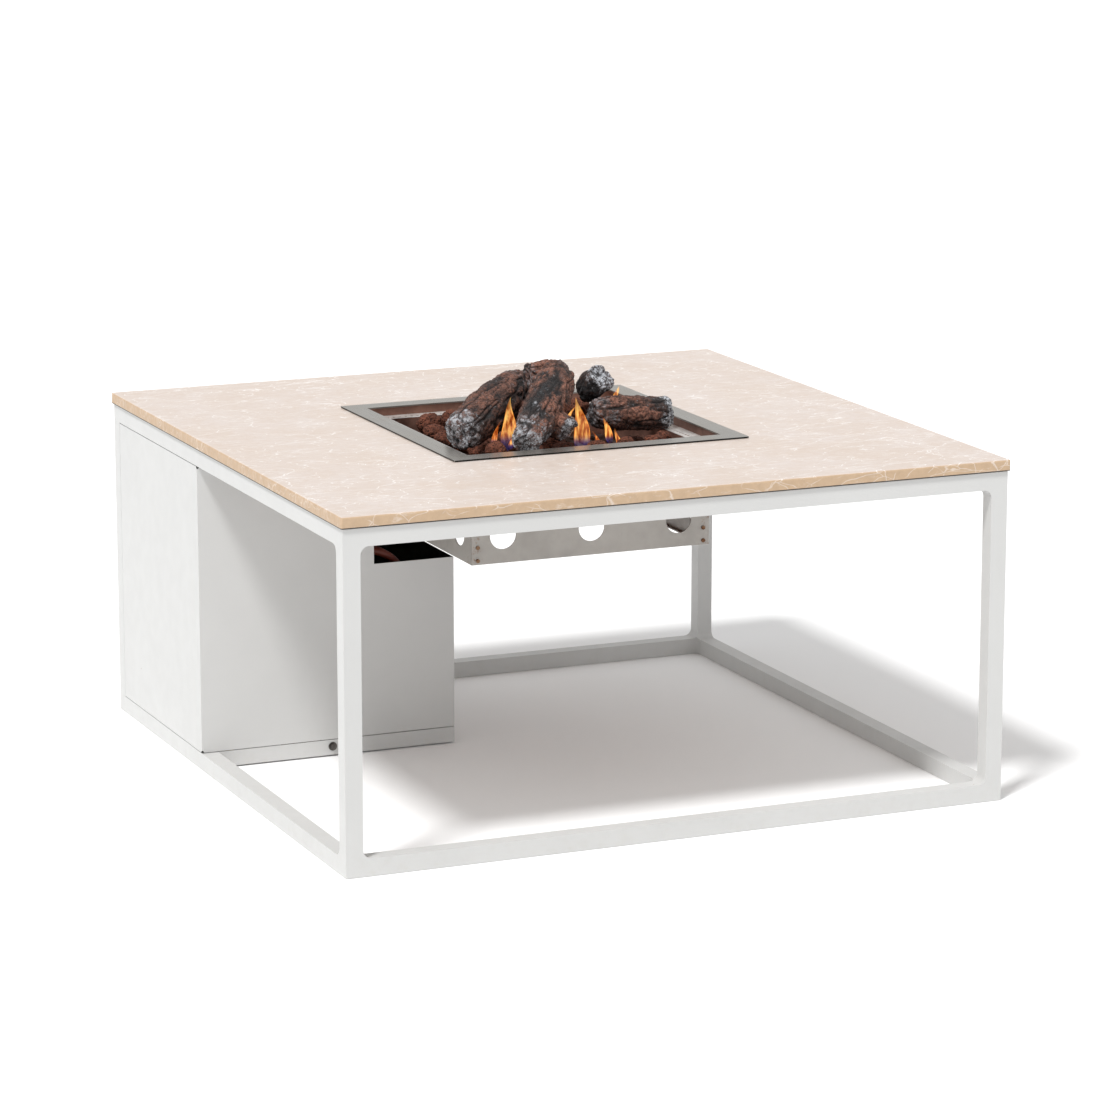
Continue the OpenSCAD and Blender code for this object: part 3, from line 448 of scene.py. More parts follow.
def moulded(name, colour, roughness=0.45):
    """Moulded plastic or rubber with a fine skin and a trace of dust."""
    p = Paint(name)
    dust = p.noise(50, 5, 0.65).rise(0.5, 0.8)
    base = p.mix(dust * 0.18, colour, (0.35, 0.32, 0.28))
    rough = p.noise(30, 4).rise(0.3, 0.7, roughness - 0.05, roughness + 0.1)
    return p.surface(Base_Color=base, Roughness=rough, Normal=p.bump(p.noise(1400, 2), 0.00004))


def charred_bark(name, brown, tan, ash_colour):
    """Moulded log: brown plates, black cracks and char, and flaking ash at the ends."""
    p = Paint(name)
    ash = p.attribute("ash")
    crack = p.attribute("crack")
    char = p.attribute("char")
    patch = p.noise(40, 5, 0.72)
    grit = p.noise(300, 6, 0.85)
    crumb = p.noise(125, 5, 0.85)
    plates = [(0.36, shade(brown, 0.2)), (0.46, brown), (0.54, tan), (0.68, shade(brown, 0.45))]
    wood = p.ramp(patch, plates)
    base = p.mix(grit.rise(0.49, 0.56) * 0.85, wood, shade(brown, 0.2))
    base = p.mix(grit.rise(0.36, 0.44, 0.6, 0.0), base, shade(tan, 1.7))
    base = p.mix(char * crumb.rise(0.35, 0.5, 0.75, 1.0), base, (0.014, 0.013, 0.014))
    base = p.mix(crack * 0.95, base, (0.008, 0.006, 0.006))
    base = p.mix(ash * 0.8, base, (0.03, 0.031, 0.034))
    ashy = (ash * 1.4 - crack * 0.8) * (crumb * 0.6 + grit * 0.5).rise(0.52, 0.6)
    base = p.mix(ashy, base, ash_colour)
    speck = crumb.rise(0.58, 0.64) * grit.rise(0.46, 0.54)
    base = p.mix(speck * 0.55, base, shade(ash_colour, 0.75))
    rough = grit.rise(0.3, 0.7, 0.5, 0.85)
    relief = p.bump(grit + crumb * 0.6, 0.0022)
    return p.surface(Base_Color=base, Roughness=rough, Normal=relief, Specular_IOR_Level=0.5)


def lava(name, colour, deep):
    """Foamed lava: rust-brown skin, with open pores of several sizes."""
    p = Paint(name)
    pit = p.attribute("pit")
    tone = p.noise(60, 5, 0.7)
    stops = [(0.3, shade(colour, 0.5)), (0.5, colour), (0.75, shade(colour, 1.5))]
    base = p.ramp(tone, stops)
    pores = p.cells(330, at=p.wandering(p.place, 150, 0.004)).rise(0.16, 0.5)
    small = p.cells(760).rise(0.12, 0.45)
    # Painted shade: pits and pores are darkened to the deep colour, for the shade inside them.
    base = p.mix(pit.top(1 - pores) * 0.85, base, deep)
    base = p.mix((1 - small) * 0.55, base, deep)
    relief = p.bump(pores * 0.7 + small * 0.3, 0.0016)
    rough = tone.rise(0.3, 0.7, 0.75, 0.95)
    return p.surface(Base_Color=base, Roughness=rough, Normal=relief, Specular_IOR_Level=0.25)


def hose_rubber(name, colour):
    """Extruded gas hose: satin and dusty, with painted shade where it lies inside the cabinet."""
    p = Paint(name)
    x = p.axes()[0]
    dust = p.noise(40, 5, 0.7).rise(0.45, 0.8)
    base = p.mix(dust * 0.25, colour, (0.3, 0.16, 0.1))
    # Painted shade: the hose goes near-black towards the inside of the cabinet.
    base = p.mix(x.rise(HOOD_HIGH.x - 60 * MM, HOOD_HIGH.x, 0.72, 0.0), base, (0.012, 0.006, 0.004))
    rough = p.noise(25, 4).rise(0.3, 0.7, 0.4, 0.55)
    return p.surface(Base_Color=base, Roughness=rough, Normal=p.bump(p.noise(1000, 2), 0.00005))


def flame_light(name, low, high, brightness):
    """Burning gas: blue and thin below, orange at the edges and yellow in the heart."""
    p = Paint(name)
    up = p.axes()[2].rise(low, high)
    facing = Value(p, p.node("ShaderNodeLayerWeight", None, {"Blend": 0.4}).outputs["Facing"])
    streak = p.noise(1, 3, 0.6, p.scaled(210, 210, 38)).rise(0.38, 0.66)
    edge = facing.rise(0.25, 0.7)
    warm = p.mix(streak, (1.0, 0.14, 0.012), (1.0, 0.6, 0.16))
    warm = p.mix(edge, warm, (1.0, 0.3, 0.03))
    colour = p.mix(up.rise(0.02, 0.24, 1.0, 0.0), warm, (0.05, 0.06, 0.35))
    body = (edge * 0.45 + streak * 0.6 + 0.08) * facing.rise(0.6, 0.97, 1.0, 0.0)
    body = body * up.rise(0.0, 0.3, 0.15, 1.0) * up.rise(0.75, 1.0, 1.0, 0.35) * brightness
    glow = p.node("ShaderNodeEmission", None, {"Color": colour, "Strength": 1.6})
    clear = p.node("ShaderNodeBsdfTransparent")
    inputs = {0: body, 1: clear.outputs[0], 2: glow.outputs[0]}
    mixed = p.node("ShaderNodeMixShader", None, inputs)
    p.node("ShaderNodeOutputMaterial", None, {"Surface": mixed.outputs[0]})
    return p.material


def pale_ground(name, colour):
    p = Paint(name)
    base = p.mix(p.noise(1.3, 2) * 0.05, colour, shade(colour, 0.96))
    return p.surface(Base_Color=base, Roughness=0.9, Specular_IOR_Level=0.1)


# ---- modelling helpers ----


def use(piece):
    """Makes one object the only selected and active one."""
    bpy.ops.object.select_all(action="DESELECT")
    piece.select_set(True)
    bpy.context.view_layer.objects.active = piece


def settle(piece, name=None):
    """Moves an object's place into its mesh, and names it."""
    use(piece)
    bpy.ops.object.transform_apply(location=True, rotation=True, scale=True)
    if name:
        piece.name = name
        piece.data.name = name
    return piece


def block(low, high, name="block"):
    """A cuboid between two corners, to be shaped further."""
    low, high = Vector(low), Vector(high)
    bpy.ops.object.select_all(action="DESELECT")
    bpy.ops.mesh.primitive_cube_add(size=1, location=(low + high) / 2, scale=high - low)
    return settle(bpy.context.object, name)


def pick(piece, faces=None, edges=None):
    """Goes into edit mode with only the faces or edges selected that pass the test."""
    use(piece)
    bpy.ops.object.mode_set(mode="EDIT")
    bpy.ops.mesh.select_mode(type="FACE" if faces else "EDGE")
    bpy.ops.mesh.select_all(action="DESELECT")
    mesh = bmesh.from_edit_mesh(piece.data)
    for part in mesh.faces if faces else mesh.edges:
        part.select_set((faces or edges)(part))
    bmesh.update_edit_mesh(piece.data)


def done():
    bpy.ops.object.mode_set(mode="OBJECT")


def round_edges(piece, test, width, segments=4):
    """Rounds the edges that pass the test."""
    pick(piece, edges=test)
    bpy.ops.mesh.bevel(offset=width, segments=segments, profile=0.5)
    done()
    return piece


def modify(piece, kind, **settings):
    """Adds a modifier, sets it and applies it."""
    use(piece)
    bpy.ops.object.modifier_add(type=kind)
    modifier = piece.modifiers[-1]
    for name, value in settings.items():
        setattr(modifier, name, value)
    bpy.ops.object.modifier_apply(modifier=modifier.name)
    return piece


def cut(piece, *tools):
    for tool in tools:
        modify(piece, "BOOLEAN", object=tool, operation="DIFFERENCE", solver="EXACT")
        bpy.data.objects.remove(tool)
    return piece


def joined(pieces, name):
    bpy.ops.object.select_all(action="DESELECT")
    for piece in pieces:
        piece.select_set(True)
    bpy.context.view_layer.objects.active = pieces[0]
    bpy.ops.object.join()
    return settle(bpy.context.object, name)


def smooth(piece, degrees=35):
    use(piece)
    bpy.ops.object.shade_smooth_by_angle(angle=math.radians(degrees))
    return piece


def along(edge, axis):
    """Whether an edge runs along an axis, 0 to 2."""
    run = edge.verts[1].co - edge.verts[0].co
    return run.length > 1e-6 and abs(run[axis]) > 0.99 * run.length


def finish_piece(piece, material, body="table", stands_for=()):
    """Gives a finished piece its material and its body, and hides the nodes that it stands for."""
    piece.data.materials.clear()
    piece.data.materials.append(material)
    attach(piece, body)
    if stands_for:
        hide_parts(*stands_for)
    return piece


def coat_nodes(material, *names):
    """Gives carried-over nodes a material."""
    for name in names:
        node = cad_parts[name]
        node.data.materials.clear()
        node.data.materials.append(material)


def curve_through(points, count):
    """Points on a smooth curve through the given ones, which may carry more than three numbers."""
    fixed = [Vector(p) for p in points]
    fixed = [2 * fixed[0] - fixed[1]] + fixed + [2 * fixed[-1] - fixed[-2]]
    spans = len(fixed) - 3
    out = []
    for i in range(count):
        t = i / (count - 1) * spans
        k = min(int(t), spans - 1)
        t -= k
        a, b, c, d = fixed[k : k + 4]
        bend = (2 * a - 5 * b + 4 * c - d) * t**2 + (3 * b - a - 3 * c + d) * t**3
        out.append((2 * b + (c - a) * t + bend) / 2)
    return out


def clamp(value):
    """The value, held between 0 and 1."""
    return max(0.0, min(1.0, value))


# ---- settings ----


def colour_setting(name, description, default):
    return bpy.props.FloatVectorProperty(
        name=name, description=description, default=default, subtype="COLOR"
    )


def length_setting(name, description, default):
    return bpy.props.FloatProperty(
        name=name, description=description, default=default, unit="LENGTH"
    )


class FireTableStage(bpy.types.PropertyGroup):
    """Camera, lights and floor."""

    lens: bpy.props.FloatProperty(
        name="Lens", description="Focal length of the camera", default=139.19, unit="CAMERA"
    )
    stand: bpy.props.FloatVectorProperty(
        name="Camera place",
        description="Where the camera stands",
        default=(-2.42516, -5.71878, 1.67185),
        subtype="TRANSLATION",
    )
    aim: bpy.props.FloatVectorProperty(
        name="Camera turn",
        description="Tilt, roll and heading of the camera",
        default=(math.radians(77.48), 0.0, math.radians(-23.21)),
        subtype="EULER",
    )
    floor_colour: colour_setting("Floor", "Colour of the floor", (0.97, 0.97, 0.97))
    key: bpy.props.FloatProperty(
        name="Key light", description="Strength of the key light, from the upper left", default=2.65
    )
    key_spread: bpy.props.FloatProperty(
        name="Key spread",
        description="How wide the key light looks",
        default=math.radians(11),
        unit="ROTATION",
    )
    sky: bpy.props.FloatProperty(name="Sky", description="Strength of the even light", default=0.68)


class FireTableFrame(bpy.types.PropertyGroup):
    """Welded frame and cabinet panels."""

    coat: colour_setting("Coat", "Colour of the powder coat", (0.59, 0.59, 0.58))
    weld_radius: length_setting("Weld radius", "Radius of the inner corners", 12 * MM)
    edge_radius: length_setting("Edge radius", "Radius of the tube's edges", 1.3 * MM)


class FireTableStone(bpy.types.PropertyGroup):
    """Stone top."""

    face: colour_setting("Face", "Colour of the top's face", (0.67, 0.59, 0.545))
    edge: colour_setting("Edge", "Colour of the top's edges", (0.54, 0.385, 0.25))
    vein: colour_setting("Veins", "Colour of the veins", (0.86, 0.82, 0.79))


class FireTableBurner(bpy.types.PropertyGroup):
    """Burner, trim and housing."""

    trim: colour_setting("Trim", "Colour of the brushed trim", (0.55, 0.53, 0.49))
    well: colour_setting("Well", "Colour of the heated walls", (0.36, 0.2, 0.155))
    rim: colour_setting("Rim", "Colour of the perforated rim", (0.78, 0.75, 0.72))
    housing: colour_setting("Housing", "Colour of the housing", (0.38, 0.36, 0.335))


class FireTableFire(bpy.types.PropertyGroup):
    """Logs, rocks and flames."""

    brown: colour_setting("Bark", "Colour of the bark", (0.14, 0.06, 0.04))
    tan: colour_setting("Bark plates", "Colour of the worn plates", (0.33, 0.14, 0.09))
    ash: colour_setting("Ash", "Colour of the ash", (0.56, 0.58, 0.62))
    rock: colour_setting("Rock", "Colour of the lava", (0.16, 0.055, 0.032))
    bark_relief: length_setting("Bark relief", "Depth of the bark's plates", 3.2 * MM)
    mesh_step: length_setting("Log mesh", "Edge length of the logs' meshes", 1.5 * MM)


class FireTableHose(bpy.types.PropertyGroup):
    """Gas hose."""

    diameter: length_setting("Diameter", "Diameter of the hose", 12 * MM)
    coil_radius: length_setting("Coil radius", "Radius of the coil's turns", 60 * MM)
    colour: colour_setting("Colour", "Colour of the hose", (0.42, 0.055, 0.022))


# ---- operators ----


class FIRETABLE_OT_stage(bpy.types.Operator):
    """Sets the floor, the light and the camera"""

    bl_idname = "firetable.stage"
    bl_label = "Stage"

    def execute(self, context):
        settings = context.scene.firetable_stage
        scene = context.scene
        scene.view_settings.view_transform = "Standard"
        bpy.ops.object.select_all(action="DESELECT")
        bpy.ops.object.camera_add(location=settings.stand, rotation=settings.aim)
        camera = context.object
        camera.data.lens = settings.lens
        camera.data.sensor_width = SENSOR_WIDTH
        scene.camera = camera

        bpy.ops.object.select_all(action="DESELECT")
        bpy.ops.mesh.primitive_plane_add(size=FLOOR_SIZE, location=(0, 0, -FLOOR_DROP))
        floor = settle(context.object, "floor")
        floor.data.materials.append(pale_ground("pale floor", settings.floor_colour))
        floor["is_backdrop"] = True

        turn = SUN_FROM.to_track_quat("Z", "Y").to_euler()
        bpy.ops.object.light_add(type="SUN", location=2 * SUN_FROM, rotation=turn)
        key = context.object
        key.name = "key_light"
        key.data.energy = settings.key
        key.data.angle = settings.key_spread

        world = bpy.data.worlds.new("even light")
        world.use_nodes = True
        scene.world = world
        sky = world.node_tree.nodes["Background"]
        sky.inputs["Color"].default_value = (1, 1, 1, 1)
        sky.inputs["Strength"].default_value = settings.sky
        return {"FINISHED"}


class FIRETABLE_OT_frame(bpy.types.Operator):
    """Makes the welded frame as one seamless skin, and coats the bars, feet and strips"""

    bl_idname = "firetable.frame"
    bl_label = "Welded frame"

    def execute(self, context):
        settings = context.scene.firetable_frame
        top = LEG_HIGH.z
        skin = block((-HALF, -HALF, 0), (HALF, HALF, top), "welded_frame")
        cut(
            skin,
            self.window(0, settings.weld_radius),
            self.window(1, settings.weld_radius),
            self.window(2, settings.weld_radius),
            *self.square_corners(),
            *self.plug_holes(),
        )
        smooth(skin, 30)
        modify(
            skin,
            "BEVEL",
            width=settings.edge_radius,
            segments=3,
            angle_limit=math.radians(50),
            harden_normals=True,
        )
        coat = powder_coat("white powder coat", settings.coat)
        tubes = [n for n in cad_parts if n.startswith(("leg_", "base_rail_", "top_rail_"))]
        finish_piece(skin, coat, stands_for=(*tubes, "corner_welds"))
        coat_nodes(coat, "crossbar_front", "crossbar_back")
        coat_nodes(moulded("foot plastic", (0.03, 0.03, 0.03)), "foot_plugs")
        coat_nodes(moulded("strip rubber", (0.012, 0.011, 0.01), 0.7), "rubber_strips")
        return {"FINISHED"}

    def window(self, axis, radius):
        """What is cut out of the block along one axis: a bar with rounded corners."""
        low = Vector((-HALF + TUBE, -HALF + TUBE, TUBE))
        high = Vector((HALF - TUBE, HALF - TUBE, LEG_HIGH.z - TUBE))
        low[axis] = -HALF - 0.1
        high[axis] = HALF + 0.1
        bar = block(low, high)
        return round_edges(bar, lambda e: along(e, axis), radius, 7)

    def square_corners(self):
        """The corners that the cabinet's panels fill have no fillet."""
        inner = HALF - TUBE
        front = HOOD_LOW.y - 5 * MM
        ceiling = LEG_HIGH.z - TUBE
        out = HALF + PASS
        return (
            block((-out, front, TUBE), (-inner, inner, ceiling)),
            block((-inner, inner, TUBE), (DOOR_HIGH.x, out, ceiling)),
            block((-inner, front, -PASS), (DOOR_HIGH.x, inner, TUBE)),
        )

    def plug_holes(self):
        """The open ends of the legs, where the foot plugs sit."""
        reach = TUBE / 2 - PLUG_WALL
        middle = HALF - TUBE / 2
        for x in (-middle, middle):
            for y in (-middle, middle):
                yield block((x - reach, y - reach, -5 * MM), (x + reach, y + reach, PLUG_DEPTH))


class FIRETABLE_OT_stone(bpy.types.Operator):
    """Gives the stone top its cream colour and veins"""

    bl_idname = "firetable.stone"
    bl_label = "Stone top"

    def execute(self, context):
        settings = context.scene.firetable_stone
        stone = cream_stone("cream stone", settings.face, settings.edge, settings.vein)
        coat_nodes(stone, "stone_top")
        return {"FINISHED"}


class FIRETABLE_OT_burner(bpy.types.Operator):
    """Finishes the trim, the tray and what lies inside the burner"""

    bl_idname = "firetable.burner"
    bl_label = "Burner"

    def execute(self, context):
        settings = context.scene.firetable_burner
        trim = brushed_trim("brushed trim", settings.trim, settings.well)
        tray = heated_steel("heated steel", settings.rim, settings.well)
        burnt = worn_metal("burnt steel", (0.12, 0.1, 0.09), (0.05, 0.025, 0.015), 0.5, 0.8)
        brass = worn_metal("turned brass", (0.72, 0.5, 0.22), (0.35, 0.22, 0.1))
        coat_nodes(trim, "trim_surround")
        coat_nodes(tray, "burner_tray")
        coat_nodes(burnt, "rock_grate", "burner_ring", "mixing_tube")
        coat_nodes(brass, "gas_jet", "flame_sensor", "feed_pipe", "gas_valve", "regulator_nut")
        coat_nodes(moulded("white glaze", (0.75, 0.72, 0.66), 0.2), "spark_electrode")
        coat_nodes(moulded("gasket rubber", (0.012, 0.011, 0.01), 0.7), "trim_gasket")
        coat_nodes(worn_metal("copper lead", (0.6, 0.28, 0.15), (0.2, 0.1, 0.06)), "sensor_lead")
        return {"FINISHED"}


class FIRETABLE_OT_logs(bpy.types.Operator):
    """Models the four moulded logs"""

    bl_idname = "firetable.logs"
    bl_label = "Logs"

    def execute(self, context):
        settings = context.scene.firetable_fire
        noise.seed_set(NOISE_SEED)
        bark = charred_bark("charred bark", settings.brown, settings.tan, settings.ash)
        # How ashy each log is at its start and its end, and how charred below and all over.
        looks = {
            "log_left": (0.62, 0.35, 0.5, 0.25),
            "log_forked": (0.7, 0.15, 0.4, 0.0),
            "log_stub": (0.0, 1.0, 1.0, 0.8),
            "log_right": (0.4, 1.0, 0.5, 0.0),
        }
        for seed, (name, line) in enumerate(LOG_LINES.items()):
            arms = [line, *FORK_LINES] if name == "log_forked" else [line]
            log = self.core(arms, settings.mesh_step)
            self.grow_bark(log, arms, looks[name], seed * 7.3 + 1.1, settings.bark_relief)
            log.name = name + "_bark"
            finish_piece(log, bark, stands_for=(name,))
        return {"FINISHED"}

    def way(self, line, count):
        """Centres and radii along a log, in metres."""
        points = curve_through(line, count)
        return [(BURNER + p.xyz * MM, p.w * MM) for p in points]

    def heading(self, way, k):
        """The direction of a log at its k-th centre."""
        return (way[min(k + 1, len(way) - 1)][0] - way[max(k - 1, 0)][0]).normalized()

    def core(self, arms, step):
        """Round bars along the arms, merged to one even mesh."""
        last = BAR_RINGS - 1
        bars = []
        for arm in arms:
            way = self.way(arm, BAR_RINGS)
            bpy.ops.object.select_all(action="DESELECT")
            bpy.ops.mesh.primitive_cylinder_add(
                vertices=BAR_SIDES, radius=1, depth=1, location=(0, 0, 0.5)
            )
            bar = settle(bpy.context.object)
            pick(bar, edges=lambda e: along(e, 2))
            bpy.ops.mesh.subdivide(number_cuts=last - 1)
            done()
            for vertex in bar.data.vertices:
                k = round(vertex.co.z * last)
                centre, radius = way[k]
                ahead = self.heading(way, k)
                side = ahead.cross(UP).normalized()
                lift = side.cross(ahead)
                # The ends are drawn in a little, so that they don't look sawn.
                end = min(k, last - k)
                pull = END_PULL[end] if end < len(END_PULL) else 1.0
                vertex.co = centre + (side * vertex.co.x + lift * vertex.co.y) * radius * pull
            pick(bar, faces=lambda f: True)
            bpy.ops.mesh.normals_make_consistent(inside=False)
            done()
            bars.append(bar)
        log = joined(bars, "log")
        log.data.remesh_voxel_size = step
        bpy.ops.object.voxel_remesh()
        return log

    def samples(self, arms):
        """Places along the arms: centre, direction, run so far, share of the arm and arm's number."""
        found = []
        for number, arm in enumerate(arms):
            way = self.way(arm, WAY_SAMPLES)
            run = 0.0
            for k, (centre, _) in enumerate(way):
                if k:
                    run += (centre - way[k - 1][0]).length
                found.append((centre, self.heading(way, k), run, k / (WAY_SAMPLES - 1), number))
        return found

    def nearest(self, spots, centres):
        """Which centre lies nearest to each spot."""
        found = np.empty(len(spots), int)
        for first in range(0, len(spots), BATCH):
            part = spots[first : first + BATCH]
            gaps = ((part[:, None, :] - centres[None]) ** 2).sum(2)
            found[first : first + BATCH] = gaps.argmin(1)
        return found

    def grow_bark(self, log, arms, looks, seed, relief):
        """Moves the skin in and out as bark, and stores where ash, cracks and char lie."""
        ash_start, ash_end, char_below, char_all = looks
        samples = self.samples(arms)
        mesh = log.data
        count = len(mesh.vertices)
        spots = np.empty(count * 3)
        mesh.vertices.foreach_get("co", spots)
        spots = spots.reshape(-1, 3)
        nearest = self.nearest(spots, np.array([sample[0] for sample in samples]))
        stored = {n: np.zeros(count, np.float32) for n in ("ash", "crack", "char")}
        moved = spots.copy()
        for i, vertex in enumerate(mesh.vertices):
            centre, ahead, run, share, number = samples[nearest[i]]
            off = vertex.co - centre
            run += off.dot(ahead)
            across = off - ahead * off.dot(ahead)
            # Coordinates squeezed along the log stretch the bark lengthwise.
            at = across + ahead * run * 0.3 + Vector((seed, seed * 2, number))
            wander = noise.noise_vector(at * 70) * 0.012
            deep = clamp(abs(noise.noise((at + wander) * 46)) / 0.15)
            shallow = clamp(abs(noise.noise((at - wander) * 105 + Vector((5, 3, 1)))) / 0.2)
            snap = clamp(abs(noise.noise((vertex.co + wander) * 48)) / 0.1)
            lump = noise.fractal(vertex.co * 38 + Vector((seed, 0, 0)), 0.9, 2.1, 3)
            fine = noise.fractal(vertex.co * 300, 0.6, 2.2, 4)
            plate = deep * (0.55 + 0.45 * snap)
            height = 0.9 * (plate - 0.8) + 0.38 * (shallow - 0.7) + 0.85 * lump + 0.24 * fine
            moved[i] = vertex.co + vertex.normal * height * relief
            # The ends are broken off unevenly.
            endness = clamp(1 - min(share, 1 - share) / 0.1)
            chip = noise.noise(across * 36 + Vector((seed, number, 0)))
            chip += 0.4 * noise.noise(across * 110)
            moved[i] += np.array(ahead) * chip * endness * END_CHIP
            first = number == 0
            cap = clamp((abs(vertex.normal.dot(ahead)) - 0.45) / 0.3) * endness
            edge = noise.noise(vertex.co * 60) * 0.2 + noise.noise(vertex.co * 190) * 0.12
            near_start = clamp(1.25 - (share + edge) / 0.22) if first else 0.0
            near_end = clamp(1.2 - (1 - share - edge) / 0.17)
            end_ash = ash_end if first else (0.9, 0.2)[number - 1]
            cap_ash = cap * (ash_start if share < 0.5 and first else end_ash)
            stored["ash"][i] = clamp(max(near_start * ash_start, near_end * end_ash, cap_ash))
            stored["crack"][i] = clamp((1 - plate) * 1.2 + (1 - shallow) * 0.7 - 0.15 - 0.5 * lump)
            below = clamp(-vertex.normal.z * 1.3 + 0.15 + noise.noise(vertex.co * 50) * 0.9)
            scorch = clamp(noise.noise(at * 24) * 2.6 - 0.3) + char_all * (1 - near_end)
            stored["char"][i] = clamp(below * char_below + scorch)
        mesh.vertices.foreach_set("co", moved.ravel())
        for name, values in stored.items():
            mesh.attributes.new(name, "FLOAT", "POINT").data.foreach_set("value", values)
        mesh.update()
        smooth(log, 60)


class FIRETABLE_OT_rocks(bpy.types.Operator):
    """Models each lava rock where its plain solid lies"""

    bl_idname = "firetable.rocks"
    bl_label = "Lava rocks"

    def execute(self, context):
        settings = context.scene.firetable_fire
        noise.seed_set(NOISE_SEED)
        # The last colour is painted shade for the rocks' pores.
        stone = lava("lava", settings.rock, (0.022, 0.009, 0.007))
        groups = {"lava_rocks_left": [], "lava_rocks_right": []}
        for number, (middle, reach) in enumerate(self.places()):
            rock = self.lump(middle, reach, number)
            side = "left" if middle.x < BURNER.x - ROCKS_SPLIT else "right"
            groups["lava_rocks_" + side].append(rock)
        for name, rocks in groups.items():
            piece = finish_piece(smooth(joined(rocks, name), 70), stone)
            if name.endswith("left"):
                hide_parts("lava_rocks")
        return {"FINISHED"}

    def places(self):
        """Middle and half size of each separate solid of the node."""
        mesh = bmesh.new()
        mesh.from_mesh(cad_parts["lava_rocks"].data)
        bmesh.ops.remove_doubles(mesh, verts=mesh.verts, dist=1e-5)
        left = set(mesh.verts)
        found = []
        while left:
            shell = {left.pop()}
            edge = list(shell)
            while edge:
                vertex = edge.pop()
                for link in vertex.link_edges:
                    other = link.other_vert(vertex)
                    if other in left:
                        left.discard(other)
                        shell.add(other)
                        edge.append(other)
            low = Vector([min(v.co[i] for v in shell) for i in range(3)])
            high = Vector([max(v.co[i] for v in shell) for i in range(3)])
            found.append(((low + high) / 2, (high - low) / 2))
        mesh.free()
        return sorted(found, key=lambda f: tuple(f[0]))

    def lump(self, middle, reach, number):
        """One rock: an uneven ball with broken flats and open pits."""
        top = middle.z + reach.z > BURNER.z - ROCKS_SEEN
        bpy.ops.object.select_all(action="DESELECT")
        bpy.ops.mesh.primitive_ico_sphere_add(subdivisions=6 if top else 4, radius=1)
        rock = bpy.context.object
        mesh = rock.data
        seed = Vector((number * 3.1, number * 1.7, number * 2.3))
        pits = np.zeros(len(mesh.vertices), np.float32)
        for vertex in mesh.vertices:
            way = vertex.co.normalized()
            at = way * reach.x / 0.02 + seed
            swell = 1.0 + 0.2 * noise.noise(at * 0.9) + 0.12 * noise.noise(at * 2.1)
            facet = noise.voronoi(at * 1.2)[0][0]
            knob = noise.fractal(at * 4.5, 0.8, 2.1, 3)
            near = noise.voronoi(at * 4.2 + noise.noise_vector(at * 3) * 0.5)[0][0]
            small = noise.voronoi(at * 9.0 + seed)[0][0]
            pit = clamp((0.42 - near) / 0.3) + 0.45 * clamp((0.36 - small) / 0.25)
            size = (swell - 0.16 * facet + 0.035 * knob - 0.075 * pit) * 1.13
            vertex.co = middle + Vector([way[i] * reach[i] * size for i in range(3)])
            pits[vertex.index] = clamp(pit)
        mesh.attributes.new("pit", "FLOAT", "POINT").data.foreach_set("value", pits)
        return rock


class FIRETABLE_OT_flames(bpy.types.Operator):
    """Sets a few licks of fire between the logs"""

    bl_idname = "firetable.flames"
    bl_label = "Flames"

    def execute(self, context):
        # Foot of each flame from BURNER, its height, half width and lean, in millimetres, and its
        # brightness.
        flames = [
            (-106, -125, -14, 78, 13, 9, 0.75), (-131, -135, -4, 36, 4.5, 10, 1.0),
            (-104, -135, -10, 28, 5, 9, 1.0), (8, -132, -24, 82, 14, -6, 0.75),
            (-13, -118, 14, 31, 3.5, 20, 0.9), (36, -140, -22, 31, 4, -17, 1.0),
            (55, -125, -16, 42, 6.5, -11, 1.0), (66, -135, -22, 31, 4.5, -8, 0.9),
            (-37, -52, 33, 25, 7, 11, 1.0), (114, -6, 23, 23, 4, 9, 0.7),
        ]
        for number, (x, y, z, height, width, lean, brightness) in enumerate(flames):
            foot = BURNER + Vector((x, y, z)) * MM
            flame = self.lick(foot, height * MM, width * MM, lean * MM, number)
            flame.name = f"flame_{number + 1}"
            tip = foot.z + height * MM
            light = flame_light(f"burning gas {number + 1}", foot.z, tip, brightness)
            flame.data.materials.append(light)
            flame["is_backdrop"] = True
        return {"FINISHED"}

    def lick(self, foot, height, width, lean, seed):
        """A teardrop that narrows to a leaning, wavering tip."""
        bpy.ops.object.select_all(action="DESELECT")
        bpy.ops.mesh.primitive_uv_sphere_add(segments=32, ring_count=40, radius=1)
        flame = bpy.context.object
        for vertex in flame.data.vertices:
            up = (vertex.co.z + 1) / 2
            belly = math.sin(math.pi * up**0.62) * (1 - 0.35 * up) + 0.001
            turn = math.atan2(vertex.co.y, vertex.co.x)
            bow = math.sin(up * 5.5 + seed * 1.9) * width * 0.3 * up
            x = math.cos(turn) * belly * width + lean * up**1.4 + bow
            y = math.sin(turn) * belly * width * 0.5
            vertex.co = foot + Vector((x, y, up * height))
        return smooth(flame, 80)


class FIRETABLE_OT_housing(bpy.types.Operator):
    """Finishes the sheet housing, its screws and the controls on its far side"""

    bl_idname = "firetable.housing"
    bl_label = "Housing and controls"

    def execute(self, context):
        settings = context.scene.firetable_burner
        sheet = sheet_steel("grey sheet", settings.housing)
        coat_nodes(sheet, "housing_front", "housing_back", "housing_left", "housing_right")
        rusty = worn_metal("rusty screw", (0.3, 0.2, 0.13), (0.14, 0.05, 0.02), 0.55, 1.0)
        coat_nodes(rusty, "housing_screws")
        plate = worn_metal("plate steel", (0.58, 0.57, 0.55), (0.4, 0.38, 0.35), 0.28, 0.4)
        coat_nodes(plate, "control_plate", "valve_plunger", "valve_spindle")
        coat_nodes(moulded("black plastic", (0.02, 0.02, 0.02), 0.4), "igniter_body", "control_knob")
        coat_nodes(moulded("red plastic", (0.5, 0.03, 0.02), 0.35), "igniter_button")
        coat_nodes(moulded("lead rubber", (0.02, 0.02, 0.02), 0.55), "igniter_lead")
        return {"FINISHED"}


